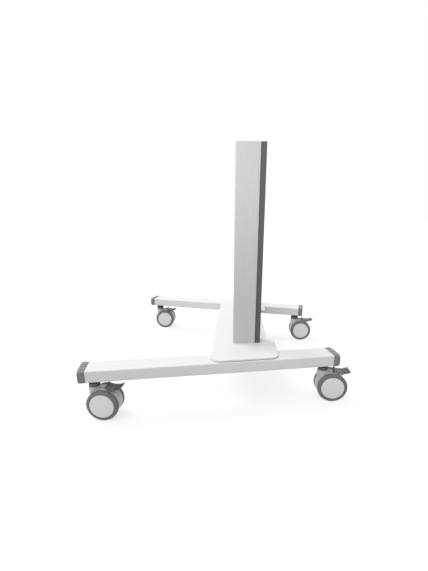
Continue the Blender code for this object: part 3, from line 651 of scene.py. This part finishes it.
# %% Nuts under the legs, screws under the plate
STUD_PLACES = {"front": -28 * MM, "rear": 78 * MM}
SCREW_PLACES = {"front": 16 * MM, "rear": 42 * MM}
for side in SIDES:
    for end, along in STUD_PLACES.items():
        matrix = leg_place[side] @ Matrix.Translation((0, along, -LEG_UNDERSIDE))
        put(f"nut_{end}_{side}", nut_mesh, matrix, "root", "zinc_plated_steel", f"leg_nut_{end}_{side}")
        put(f"stud_end_{end}_{side}", stud_mesh, matrix, "root", "zinc_plated_steel")
    for end, along in SCREW_PLACES.items():
        matrix = post_place[side] @ Matrix.Translation((0, along, 0))
        put(f"button_head_{end}_{side}", screw_mesh, matrix, "root", "zinc_plated_steel",
            f"post_screw_{end}_{side}")
print("fastenings placed:", len(SIDES) * (2 * len(STUD_PLACES) + len(SCREW_PLACES)))

# %% [markdown]
# ## Posts
# A post is a wedge-shaped profile, wider at the front. Near its back edge a fine groove runs up each
# side, where the cover's edge lines up, and the lip behind it shows as a thin bright strip. A dark
# painted line would look right from one side only, so the groove is cut. The outline is drawn once
# in plan and pushed up the full height, as the die does it. Only its top is open, for the block.

# %% Post profiles
POST_FRONT_WIDTH, POST_BACK_WIDTH, POST_DEPTH = 48 * MM, 32 * MM, 71.7 * MM
PROFILE_DEPTH = 57.8 * MM
FRONT_CORNER, LIP_CORNER = 3 * MM, 0.6 * MM
LIP, GROOVE, GROOVE_DEPTH = 3.2 * MM, 0.9 * MM, 0.5 * MM
WALL, SIDE_WALL_FRONT, SIDE_WALL_BACK = 2.5 * MM, 3 * MM, 2.3 * MM
HOLLOW_CORNER, HOLLOW_DEPTH = 1 * MM, 12 * MM
SAWN_END = 0.25 * MM
CLEAR = 5 * MM    # how far a cutting shape starts outside


def post_half(y):
    """Half a post's width at a distance behind its front face."""
    return POST_FRONT_WIDTH / 2 - y * (POST_FRONT_WIDTH - POST_BACK_WIDTH) / 2 / POST_DEPTH


groove_end = PROFILE_DEPTH - LIP
groove_start = PROFILE_DEPTH - LIP - GROOVE
groove_middle = groove_start + GROOVE / 2
outline = rounded(symmetric([(post_half(0), 0, FRONT_CORNER),
                             (post_half(groove_start), groove_start, 0),
                             (post_half(groove_middle) - GROOVE_DEPTH, groove_middle, 0),
                             (post_half(groove_end), groove_end, 0),
                             (post_half(PROFILE_DEPTH), PROFILE_DEPTH, LIP_CORNER)]))
inside = [(post_half(0) - SIDE_WALL_FRONT, WALL, HOLLOW_CORNER),
          (post_half(PROFILE_DEPTH) - SIDE_WALL_BACK, PROFILE_DEPTH - WALL, HOLLOW_CORNER)]
profile, hollow = bmesh.new(), bmesh.new()
add_prism(profile, outline, POST_BOTTOM, POST_TOP, top_round=SAWN_END, segments=1)
add_prism(hollow, rounded(symmetric(inside), steps=3), POST_TOP - HOLLOW_DEPTH, POST_TOP + CLEAR)
post_mesh = new_mesh("post_profile", cut(profile, hollow, "DIFFERENCE"), anodised)
for side in SIDES:
    put(f"post_profile_{side}", post_mesh, post_place[side], "root", "silver_anodised_aluminium",
        f"post_{side}")
print("post faces:", len(post_mesh.polygons))

# %% [markdown]
# The cover closes the cable channel at the back. It is a U in plan with round outer corners. Its
# front edges are stepped in, which leaves a dark line between it and the bright profile. A solid bar
# would look alike from the side, but from above the channel has to be open.

# %% Back covers
COVER_WALL, COVER_SETBACK = 2.4 * MM, 0.1 * MM
COVER_CORNER, EDGE_CORNER = 1.6 * MM, 0.3 * MM
STEP_IN, STEP_LENGTH = 2.0 * MM, 1.8 * MM

start = PROFILE_DEPTH + JOINT
inner_back = POST_DEPTH - COVER_WALL
near, far = post_half(start) - COVER_SETBACK, post_half(POST_DEPTH) - COVER_SETBACK
inner_far = post_half(inner_back) - COVER_SETBACK - COVER_WALL
outline = rounded(symmetric([(far, POST_DEPTH, COVER_CORNER), (near, start + STEP_LENGTH, EDGE_CORNER),
                             (near - STEP_IN, start + STEP_LENGTH, 0), (near - STEP_IN, start, 0),
                             (near - COVER_WALL, start, 0), (inner_far, inner_back, 0)]), steps=6)
cover = bmesh.new()
add_prism(cover, outline, POST_BOTTOM, POST_TOP, top_round=SAWN_END, segments=1)
cover_mesh = new_mesh("cable_cover", cover, dark_plastic)
for side in SIDES:
    put(f"cable_cover_{side}", cover_mesh, post_place[side], "root", "dark_grey_profile",
        f"post_cover_{side}")
print("cover faces:", len(cover_mesh.polygons))

# %% [markdown]
# The top of each post is closed by a cast block, one millimetre down, with two tapped holes that
# the upper part of a stand screws into. The holes are cut with a stepped bore, whose rings look like
# a thread from above. A bump could only shade them, and would not cast a shadow into the hole.

# %% Head blocks
BLOCK_HEIGHT, BLOCK_EDGE = 10 * MM, 0.5 * MM
BLOCK_TOP = POST_TOP - 1 * MM
TAP_RADIUS, TAP_DEPTH, TAP_THREAD = 4 * MM, 8 * MM, 0.45 * MM
PLAIN_TOP, DRILL_TIP = 0.6 * MM, 0.5 * MM    # of a hole, above and below its thread

block = bmesh.new()
fitted = rounded(symmetric([(x - JOINT, y, radius) for x, y, radius in inside]), steps=4)
add_prism(block, fitted, BLOCK_TOP - BLOCK_HEIGHT, BLOCK_TOP, top_round=BLOCK_EDGE, segments=2)
for y in SCREW_PLACES.values():
    rings = thread(TAP_RADIUS, TAP_THREAD, BLOCK_TOP - PLAIN_TOP, int(TAP_DEPTH / PITCH * 2))
    bore = bmesh.new()
    add_turned(bore, [(0, BLOCK_TOP + CLEAR), (TAP_RADIUS, BLOCK_TOP + CLEAR)] + rings
               + [(0, rings[-1][1] - DRILL_TIP)], steps=24)
    bmesh.ops.translate(bore, verts=bore.verts, vec=(0, y, 0))
    block = cut(block, bore, "DIFFERENCE")
block_mesh = new_mesh("head_block", block, cast_metal)
for side in SIDES:
    put(f"head_block_{side}", block_mesh, post_place[side], "root", "cast_aluminium", f"post_head_{side}")
print("head block faces:", len(block_mesh.polygons))

# %% [markdown]
# ## Casters: collar
# The swivel stem has a bearing collar between leg and hood: a dark cup above, coloured near-black as
# painted shade for the leg's shadow on its top, and below it the grey ring that the hood turns on.
# Both are round, so each is a profile turned about the stem's axis.
# Stacked cylinders would lack the small rounds that catch the light. Each round is written as points
# of how far in and how far up it is, in millimetres, from the sharp corner that it takes off.

# %% Collars
COLLAR_RADIUS = 13.3 * MM
COLLAR_TOP = LEG_UNDERSIDE - JOINT
COLLAR_BOTTOM = LEG_UNDERSIDE - 18.8 * MM
CUP_BOTTOM = COLLAR_TOP - 9.5 * MM
RING_TOP = CUP_BOTTOM - JOINT
SPIGOT_RADIUS, SPIGOT_LENGTH = 6 * MM, 30 * MM
SPIGOT_END = COLLAR_BOTTOM - SPIGOT_LENGTH
CUP_SHOULDER, CUP_FOOT = [(1.4, 0), (0.4, -0.4), (0, -1.4)], [(0, 0.7), (0.7, 0)]
RING_SHOULDER, RING_FOOT = [(1.5, 0), (0.7, -0.6), (0.5, -1.7)], [(0.5, 1.6), (0.9, 0.5), (1.7, 0)]


def edge(radius, height, points):
    """An edge of a turned profile, from points in millimetres inwards and upwards of its corner."""
    return [(radius - inwards * MM, height + upwards * MM) for inwards, upwards in points]


def lathe(name, profile, material, steps=48):
    """A mesh turned from a profile of (radius, height) points."""
    shape = bmesh.new()
    add_turned(shape, profile, steps)
    return new_mesh(name, shape, material)


cup_profile = [(0, COLLAR_TOP)] + edge(COLLAR_RADIUS, COLLAR_TOP, CUP_SHOULDER)
cup_profile += edge(COLLAR_RADIUS, CUP_BOTTOM, CUP_FOOT) + [(0, CUP_BOTTOM)]
ring_profile = [(0, RING_TOP)] + edge(COLLAR_RADIUS, RING_TOP, RING_SHOULDER)
ring_profile += edge(COLLAR_RADIUS, COLLAR_BOTTOM, RING_FOOT)
ring_profile += [(SPIGOT_RADIUS, COLLAR_BOTTOM), (SPIGOT_RADIUS, SPIGOT_END), (0, SPIGOT_END)]
# The cup's near-black material is painted shade: it stands in for the shadow that the leg casts on the
# collar's top.
cup_mesh = lathe("bearing_cup", cup_profile, cup_steel_painted_shade)
ring_mesh = lathe("bearing_ring", ring_profile, ring_steel)
for spot in SPOTS:
    put(f"cup_{spot}", cup_mesh, caster_place[spot], "root", "blackened_steel", f"caster_stem_{spot}")
    put(f"ring_{spot}", ring_mesh, caster_place[spot], "root", "blackened_steel", f"caster_stem_{spot}")
print("collar faces:", len(cup_mesh.polygons) + len(ring_mesh.polygons))

# %% [markdown]
# ## Casters: hood
# The hood is one nylon moulding: a tower round the stem, a round block between the wheels, and a
# boss for the pedal's pin. Its parts are drawn as a side view or turned about an axis, so three
# helpers come first: one lays a shape along X, one makes a rod, and one makes a slab.

# %% Shapes seen from the side
def along_x(shape, y, z):
    """Lays a shape that was made along Z along X, at a place in the caster's side view."""
    turn = Matrix.Rotation(math.pi / 2, 4, "Y")
    bmesh.ops.transform(shape, verts=shape.verts, matrix=Matrix.Translation((0, y, z)) @ turn)
    return shape


def rod(radius, half_length, y, z, steps=48):
    """A round rod that lies along X."""
    shape = bmesh.new()
    profile = [(0, -half_length), (radius, -half_length), (radius, half_length), (0, half_length)]
    add_turned(shape, profile, steps)
    return along_x(shape, y, z)


def side_slab(outline, half_width):
    """An outline of (y, z) points made into a solid that is centred on the caster's middle."""
    shape = bmesh.new()
    add_prism(shape, outline, -half_width, half_width)
    side_view = Matrix(((0, 0, 1, 0), (1, 0, 0, 0), (0, 1, 0, 0), (0, 0, 0, 1)))
    bmesh.ops.transform(shape, verts=shape.verts, matrix=side_view)
    return shape


print("helpers for side views are ready")

# %% [markdown]
# Where the tower runs into the block, the moulding has a soft fillet. Bevels fail where so many
# short edges meet, so the shapes are joined with booleans, remeshed in small even cells and smoothed
# a little. That rounds every edge and fills every inside corner, as a mould maker does.

# %% Softened solids
SMOOTH_SHARE = 0.5


def remeshed(shape, name, material, cell, rounds):
    """Joins and softens a solid by an even remesh and a few rounds of smoothing."""
    thing = loose("unsmoothed", shape)
    remesh = thing.modifiers.new("even", "REMESH")
    remesh.mode = "VOXEL"
    remesh.voxel_size = cell
    smooth = thing.modifiers.new("soften", "SMOOTH")
    smooth.factor = SMOOTH_SHARE
    smooth.iterations = rounds
    result = bmesh.new()
    result.from_mesh(with_modifiers(thing).to_mesh())
    bpy.data.meshes.remove(thing.data)
    return new_mesh(name, result, material)


print("each round of smoothing moves a point", SMOOTH_SHARE, "of the way to its neighbours")

# %% Hood body
CASTER_TRAIL, AXLE_HEIGHT = 22.2 * MM, 37.264 * MM
HOOD_TOP = COLLAR_BOTTOM - JOINT
HOOD_RADIUS, HOOD_HALF = 36.2 * MM, 13.9 * MM
TOWER_RADIUS, TOWER_EDGE = 13.6 * MM, [(0.6, 0), (0, -0.8)]
TOWER_FOOT_RADIUS, TOWER_FOOT = 13.5 * MM, 30 * MM
PIN_Y, PIN_Z, PIN_BOSS_RADIUS = 31 * MM, 72.4 * MM, 2.9 * MM
FLOOR_ROOM = 10 * MM
OUTSIDE, PAST_SIDES = 80 * MM, 20 * MM    # beyond the caster's side view, and beyond its width

tower = bmesh.new()
add_turned(tower, [(0, HOOD_TOP)] + edge(TOWER_RADIUS, HOOD_TOP, TOWER_EDGE)
           + [(TOWER_FOOT_RADIUS, TOWER_FOOT), (0, TOWER_FOOT)], steps=64)
hood = cut(rod(HOOD_RADIUS, HOOD_HALF, CASTER_TRAIL, AXLE_HEIGHT, steps=96), tower, "UNION")
hood = cut(hood, rod(PIN_BOSS_RADIUS, HOOD_HALF, PIN_Y, PIN_Z), "UNION")
below = [(-OUTSIDE, -OUTSIDE), (OUTSIDE, -OUTSIDE), (OUTSIDE, FLOOR_ROOM), (-OUTSIDE, FLOOR_ROOM)]
hood = cut(hood, side_slab(below, PAST_SIDES), "DIFFERENCE")
print("hood faces before its cuts:", len(hood.faces))

# %% Hood cuts
TONGUE_ROOM, TONGUE_ROOM_HALF, TONGUE_ROOM_CORNER = 4.6 * MM, 4.2 * MM, 4 * MM
BORE_ROOM, BORE_END_ROOM, AXLE_ROOM_RADIUS = 0.7 * MM, 1 * MM, 4.8 * MM
HOOD_CELL, HOOD_ROUNDS = 0.7 * MM, 4


def round_pin(reach, corner, top_behind, top_ahead):
    """A side view round the pedal's pin, with round corners below it and a height at each side above."""
    return rounded([(PIN_Y - reach, PIN_Z - reach, corner), (PIN_Y + reach, PIN_Z - reach, corner),
                    (PIN_Y + reach, PIN_Z + top_behind, 0), (PIN_Y - reach, PIN_Z + top_ahead, 0)],
                   steps=5)


slot = round_pin(TONGUE_ROOM, TONGUE_ROOM_CORNER, 3 * TONGUE_ROOM, 3 * TONGUE_ROOM)
hood = cut(hood, side_slab(slot, TONGUE_ROOM_HALF), "DIFFERENCE")
bore_radius, bore_end = SPIGOT_RADIUS + BORE_ROOM, SPIGOT_END - BORE_END_ROOM
bore = bmesh.new()
add_turned(bore, [(0, HOOD_TOP + CLEAR), (bore_radius, HOOD_TOP + CLEAR), (bore_radius, bore_end),
                  (0, bore_end)], steps=48)
hood = cut(hood, bore, "DIFFERENCE")
hood = cut(hood, rod(AXLE_ROOM_RADIUS, PAST_SIDES, CASTER_TRAIL, AXLE_HEIGHT), "DIFFERENCE")
hood_mesh = remeshed(hood, "hood", hood_plastic, HOOD_CELL, HOOD_ROUNDS)
for spot in SPOTS:
    put(f"hood_{spot}", hood_mesh, caster_place[spot], f"swivel_{spot}", "light_grey_nylon",
        f"caster_hood_{spot}")
print("hood faces:", len(hood_mesh.polygons))

# %% [markdown]
# ## Casters: wheels
# A wheel has a nylon body whose outer disc shows, and a soft tread moulded round it. Both are
# turned shapes. They could be cylinders with loops and bevels added, but one profile holds the whole
# section and gives clean rings of faces. The disc has a slight crown, a fine groove round it and a
# raised rim, and its middle is plain. Its face is written as points of radius and height, in
# millimetres.

# %% Wheel discs
WHEEL_INNER, HUB_OUTER = 14.5 * MM, 25.6 * MM    # from the caster's middle
CROWN = [(0, 0.75), (9, 0.72), (16, 0.62), (20, 0.5), (22.2, 0.42)]
RING_GROOVE = [(22.6, 0.2), (23.2, 0.12), (23.8, 0.2), (24.2, 0.34), (25.6, 0.28)]
RAISED_RIM = [(26.0, 0.45), (26.5, 0.6), (27.4, 0.55), (27.9, 0.3), (28.2, -0.1), (28.4, -0.7)]
DISC_RADIUS, RIM_INSIDE = 28.4 * MM, 25.4 * MM
WEB_INSIDE = 22.8 * MM    # the disc's inner face, from the caster's middle
BOSS_RADIUS, BORE_RADIUS, BORE_END = 7.5 * MM, 4.4 * MM, 21.2 * MM

face = [(radius * MM, HUB_OUTER + height * MM) for radius, height in CROWN + RING_GROOVE + RAISED_RIM]
back = [(DISC_RADIUS, WHEEL_INNER + JOINT), (RIM_INSIDE, WHEEL_INNER + JOINT), (RIM_INSIDE, WEB_INSIDE),
        (BOSS_RADIUS, WEB_INSIDE), (BOSS_RADIUS, WHEEL_INNER), (BORE_RADIUS, WHEEL_INNER),
        (BORE_RADIUS, BORE_END), (0, BORE_END)]
disc = bmesh.new()
add_turned(disc, face + back, steps=96)
disc_mesh = new_mesh("wheel_disc", along_x(disc, 0, 0), disc_plastic)
print("disc faces:", len(disc_mesh.polygons))

# %% [markdown]
# The tread has a round outer shoulder, a smaller one inside, and a fine line round its middle where
# the mould's halves met. Its inside is just clear of the disc's rim, so the profile is a closed ring.

# %% Treads
TREAD_RADIUS, TREAD_OUTER = AXLE_HEIGHT, 25.0 * MM
TREAD_INSIDE = DISC_RADIUS + JOINT
SHOULDER, SHOULDER_STEPS = 4.2 * MM, 6
OUTER_LIP = [(0, -0.6), (-0.5, -0.1)]
MOULD_LINE = [(0.15, 0.5), (0, 0), (0.15, -0.5)]
INNER_SHOULDER = [(0.1, 1.8), (0.6, 0.6), (1.6, 0)]

profile = edge(TREAD_INSIDE, TREAD_OUTER, OUTER_LIP)
for step in range(SHOULDER_STEPS + 1):
    angle = math.pi / 2 * step / SHOULDER_STEPS
    profile.append((TREAD_RADIUS - SHOULDER * (1 - math.sin(angle)),
                    TREAD_OUTER - SHOULDER * (1 - math.cos(angle))))
profile += edge(TREAD_RADIUS, (TREAD_OUTER + WHEEL_INNER) / 2, MOULD_LINE)
profile += edge(TREAD_RADIUS, WHEEL_INNER, INNER_SHOULDER) + [(TREAD_INSIDE, WHEEL_INNER)]
tread = bmesh.new()
add_turned(tread, profile, steps=128, closed=True)
tread_mesh = new_mesh("wheel_tread", along_x(tread, 0, 0), tread_rubber)

for spot in SPOTS:
    at_axle = caster_place[spot] @ Matrix.Translation((0, CASTER_TRAIL, AXLE_HEIGHT))
    for letter, turn in (("a", 0), ("b", math.pi)):
        matrix = at_axle @ Matrix.Rotation(turn, 4, "Z")
        put(f"disc_{spot}_{letter}", disc_mesh, matrix, f"wheel_{spot}_{letter}", "pale_grey_nylon",
            f"hub_{spot}_{letter}")
        put(f"tread_{spot}_{letter}", tread_mesh, matrix, f"wheel_{spot}_{letter}", "grey_soft_tread",
            f"tyre_{spot}_{letter}")
print("tread faces:", len(tread_mesh.polygons))

# %% [markdown]
# ## Casters: brake pedals
# The pedal is a lever in dark nylon that turns on a pin behind the stem. Its tip kicks up and has
# grooves across it, so that a shoe doesn't slip, and a small lip hangs below where they start. It
# could be shaped by moving a box's points by hand. Here it is made like a part from two projections
# of a drawing: the side view, with its grooves, is cut to the plan view. The side view's points are
# the distance behind the stem and the height, in millimetres.

# %% The pedal's side view
UNDERSIDE = [(26.5, 75.5), (28.5, 75.8), (33.5, 75.5), (37.0, 74.2), (40.0, 72.9), (44.2, 71.4),
             (45.2, 69.9), (47.4, 69.9), (48.2, 72.0), (57.0, 73.4), (65.5, 76.0)]
TOP = [(65.5, 78.6), (57.0, 76.0), (50.0, 74.6), (40.0, 75.3), (35.0, 76.7), (31.0, 77.3), (26.5, 77.3)]
GROOVE_PLACES, GROOVE_WIDTH = (61.4, 56.0, 50.6), 3.3
GROOVE_CUT, RIB_RISE = 1.1, 0.8
RIBS_START, PLAIN_END = 46.9, 45.5


def on_top(y, rise):
    """The point of the side view at a distance behind the stem, some way above the plain top."""
    for (y_1, z_1), (y_0, z_0) in zip(TOP, TOP[1:]):
        if y >= y_0:
            return y, z_0 + (z_1 - z_0) * (y - y_0) / (y_1 - y_0) + rise


def in_metres(points):
    """Points in millimetres, turned to metres."""
    return [tuple(value * MM for value in point) for point in points]


side_points = UNDERSIDE + [on_top(TOP[0][0], RIB_RISE)]
for middle in GROOVE_PLACES:
    behind, ahead = middle + GROOVE_WIDTH / 2, middle - GROOVE_WIDTH / 2
    side_points += [on_top(behind, RIB_RISE), on_top(behind, -GROOVE_CUT),
                    on_top(ahead, -GROOVE_CUT), on_top(ahead, RIB_RISE)]
side_points += [on_top(RIBS_START, RIB_RISE), on_top(PLAIN_END, 0)]
side_points += [point for point in TOP if point[0] < PLAIN_END]
print("points of the pedal's side view:", len(side_points))

# %% [markdown]
# In plan, a narrow neck widens to the part that is trodden on. A tongue reaches down round the pin,
# and a small tab stands up at the root, to kick the pedal free. The finer cells of this remesh keep
# the grooves, which the hood's cells would lose.

# %% Pedals
PLAN_HALF = [(9, 20, 0), (9, 26.5, 1), (15, 29.5, 1.5), (15, 69, 2)]
TONGUE_REACH, TONGUE_CORNER, TONGUE_HALF = 3.8 * MM, 3.4 * MM, 3.6 * MM
TONGUE_BEHIND, TONGUE_AHEAD = 4.0 * MM, 4.7 * MM
RELEASE_TAB = [(-12.5, 29.4), (-6.5, 29.4), (-6.5, 31.4), (-12.5, 31.4)]
TAB_BOTTOM, TAB_TOP = 75.5 * MM, 83.2 * MM
OVERHEAD = 100 * MM    # above the whole pedal
PEDAL_CELL, PEDAL_ROUNDS = 0.3 * MM, 1

plan, release = bmesh.new(), bmesh.new()
add_prism(plan, rounded(symmetric(in_metres(PLAN_HALF)), steps=5), 0, OVERHEAD)
pedal = cut(side_slab(in_metres(side_points), PAST_SIDES), plan, "INTERSECT")
tongue = round_pin(TONGUE_REACH, TONGUE_CORNER, TONGUE_BEHIND, TONGUE_AHEAD)
pedal = cut(pedal, side_slab(tongue, TONGUE_HALF), "UNION")
add_prism(release, in_metres(RELEASE_TAB), TAB_BOTTOM, TAB_TOP)
pedal = cut(pedal, release, "UNION")
bmesh.ops.translate(pedal, verts=pedal.verts, vec=(0, -PIN_Y, -PIN_Z))
pedal_mesh = remeshed(pedal, "pedal", pedal_plastic, PEDAL_CELL, PEDAL_ROUNDS)
for spot in SPOTS:
    matrix = caster_place[spot] @ Matrix.Translation((0, PIN_Y, PIN_Z))
    put(f"pedal_{spot}", pedal_mesh, matrix, f"pedal_{spot}", "dark_grey_nylon", f"brake_pedal_{spot}")
print("pedal faces:", len(pedal_mesh.polygons))

# %% [markdown]
# ## CAD solids that stay
# The axles, the pins and the blocks in the posts' feet hardly show, and their shapes are right as
# they are. Finer pieces would change nothing that can be seen, so these keep their meshes and only
# take a better finish.

# %% Finishes for the solids that stay
for name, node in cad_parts.items():
    if name.startswith(("axle_", "pedal_pin_")):
        kept = zinc
    elif name.startswith("post_foot_"):
        kept = cast_metal
    else:
        continue
    node.data.materials.clear()
    node.data.materials.append(kept)
    print("kept", name, "in", kept.name)

# %% [markdown]
# ## Stage
# The stand is on a plain pale floor that runs to a white horizon. A bright floor could be had with
# more light, but that would bleach the stand. So the floor and the sky tell two kinds of rays apart.
# Rays from the camera, or from a gloss or glass, see the floor mostly in its own white and only
# partly lit, so it stays pale and still takes the stand's soft shadow. All other rays carry the light
# that it throws back on the stand, and for them it is a plain pale floor.

# %% Floor
FLOOR_REACH = 60.0
FLOOR_GLOW = 0.72
FLOOR_MATT = (0.34, 0.34, 0.34, 1)
WHITE = (1, 1, 1, 1)


def rays_that_see(tree):
    """A socket that is 1 for rays from the camera, a gloss or glass, and 0 for all others."""
    rays = add_node(tree, "ShaderNodeLightPath")
    camera_or_gloss = add_node(tree, "ShaderNodeMath", {"operation": "MAXIMUM"},
                               {0: rays.outputs["Is Camera Ray"], 1: rays.outputs["Is Glossy Ray"]})
    any_of_them = add_node(tree, "ShaderNodeMath", {"operation": "MAXIMUM"},
                           {0: camera_or_gloss.outputs[0], 1: rays.outputs["Is Transmission Ray"]})
    return any_of_them.outputs[0]


floor_paint, tree = new_material("pale_studio_floor", {"Base Color": linear("BEBEBE"), "Roughness": 1.0,
                                                       "Specular IOR Level": 0.0})
glow = add_node(tree, "ShaderNodeEmission", {"Color": WHITE, "Strength": FLOOR_GLOW})
matt = add_node(tree, "ShaderNodeBsdfDiffuse", {"Color": FLOOR_MATT})
pale = add_node(tree, "ShaderNodeAddShader", None, {0: glow.outputs[0], 1: matt.outputs[0]})
choose = add_node(tree, "ShaderNodeMixShader", None,
                  {0: rays_that_see(tree), 1: tree.nodes["Principled BSDF"].outputs[0], 2: pale.outputs[0]})
tree.links.new(choose.outputs[0], tree.nodes["Material Output"].inputs["Surface"])
ground = bmesh.new()
bmesh.ops.create_grid(ground, x_segments=1, y_segments=1, size=FLOOR_REACH)
linked("floor", new_mesh("floor", ground, floor_paint))
print("floor reaches", FLOOR_REACH, "m each way")

# %% [markdown]
# The sky is white to the rays that see it. As a light, it is like a big cloth overhead that fades
# towards the horizon. An even white sky would light the stand from all sides and leave it flat.

# %% World
HORIZON_LIGHT, OVERHEAD_LIGHT = 0.25, 0.85
world = bpy.data.worlds.new("white_studio")
world.use_nodes = True
bpy.context.scene.world = world
tree = world.node_tree
direction = add_node(tree, "ShaderNodeTexCoord")
height = add_node(tree, "ShaderNodeSeparateXYZ", None, {0: direction.outputs["Generated"]})
cloth = add_node(tree, "ShaderNodeMapRange", {"To Min": HORIZON_LIGHT, "To Max": OVERHEAD_LIGHT},
                 {"Value": height.outputs["Z"]})
level = add_node(tree, "ShaderNodeMix", {"B": 1.0}, {"Factor": rays_that_see(tree), "A": cloth.outputs[0]})
background = tree.nodes["Background"]
background.inputs["Color"].default_value = WHITE
tree.links.new(level.outputs[0], background.inputs["Strength"])
print("sky light from", HORIZON_LIGHT, "at the horizon to", OVERHEAD_LIGHT, "overhead")

# %% [markdown]
# The main light is a wide soft one from above, in front and from the far side, as in a product
# picture. One lamp would leave the near side dark, so a wide fill from above on the near side lights
# the legs' sides and the wheel discs, and a weak low one in front lifts what looks forward. These
# are sun lamps, whose light is the same all over the stand. The last is a panel with a grid, on the
# near side, that lights the posts from the top down to just above the plate, so that they darken
# towards their feet.

# %% Lamps
STAND_MIDDLE = (0, 0, 0)
POST_HIGH_UP = (0.17, 0.05, 0.61)


def add_lamp(name, kind, settings, place, target):
    """A lamp at a place in metres that is aimed at another."""
    light = bpy.data.lights.new(name, kind)
    for setting, value in settings.items():
        setattr(light, setting, value)
    lamp = linked(name, light)
    lamp.location = place
    lamp.rotation_euler = (Vector(target) - Vector(place)).to_track_quat("-Z", "Y").to_euler()
    print("lamp:", name)


add_lamp("soft_key", "SUN", {"energy": 1.05, "angle": math.radians(30)}, (-0.75, -1.5, 2.4), STAND_MIDDLE)
add_lamp("near_fill", "SUN", {"energy": 0.6, "angle": math.radians(40)}, (1.0, -0.6, 1.3), STAND_MIDDLE)
add_lamp("low_front", "SUN", {"energy": 0.25, "angle": math.radians(40)}, (0.5, -0.85, 0.3), STAND_MIDDLE)
add_lamp("near_panel", "AREA", {"energy": 0.5, "size": 0.4, "spread": math.radians(42)},
         (1.3, -0.3, 0.95), POST_HIGH_UP)

# %% [markdown]
# Blender's usual view transform softens bright tones, as film does. Standard shows a colour about
# as it is written, so the stand also looks right under other light.

# %% View transform
view = bpy.context.scene.view_settings
view.view_transform = "Standard"
print("view transform:", view.view_transform)

# %% [markdown]
# ## Camera
# The camera stands where the photograph was taken from: on the right leg's side, a metre from the
# stand's middle and knee high, looking across the stand and 16 degrees down. Its lens comes from the
# focal length in pixels: the sensor's 36 mm lie along the frame's longer side, its height. Turning
# the camera would change the perspective, so a small shift gives the photograph's crop instead.

# %% Camera
CAMERA_PLACE = (0.996328, DATUM_Y + 0.008, 0.448701)
CAMERA_YAW, CAMERA_PITCH = 0.059657, 0.277956    # in radians, from the -X direction
SENSOR, FOCAL_PIXELS, FRAME_HEIGHT = 36.0, 326.431, 571
SHIFT_X, SHIFT_Y = -0.00636, 0.04533
CLIP_START = 0.01

camera = bpy.data.cameras.new("camera")
camera.sensor_width = SENSOR
camera.lens = FOCAL_PIXELS / FRAME_HEIGHT * SENSOR
camera.shift_x = SHIFT_X
camera.shift_y = SHIFT_Y
camera.clip_start = CLIP_START
level_way = math.cos(CAMERA_PITCH)
view_direction = Vector((-math.cos(CAMERA_YAW) * level_way, -math.sin(CAMERA_YAW) * level_way,
                         -math.sin(CAMERA_PITCH)))
eye = linked("camera", camera)
eye.location = CAMERA_PLACE
eye.rotation_euler = view_direction.to_track_quat("-Z", "Y").to_euler()
bpy.context.scene.camera = eye
print("lens in mm:", round(camera.lens, 2))
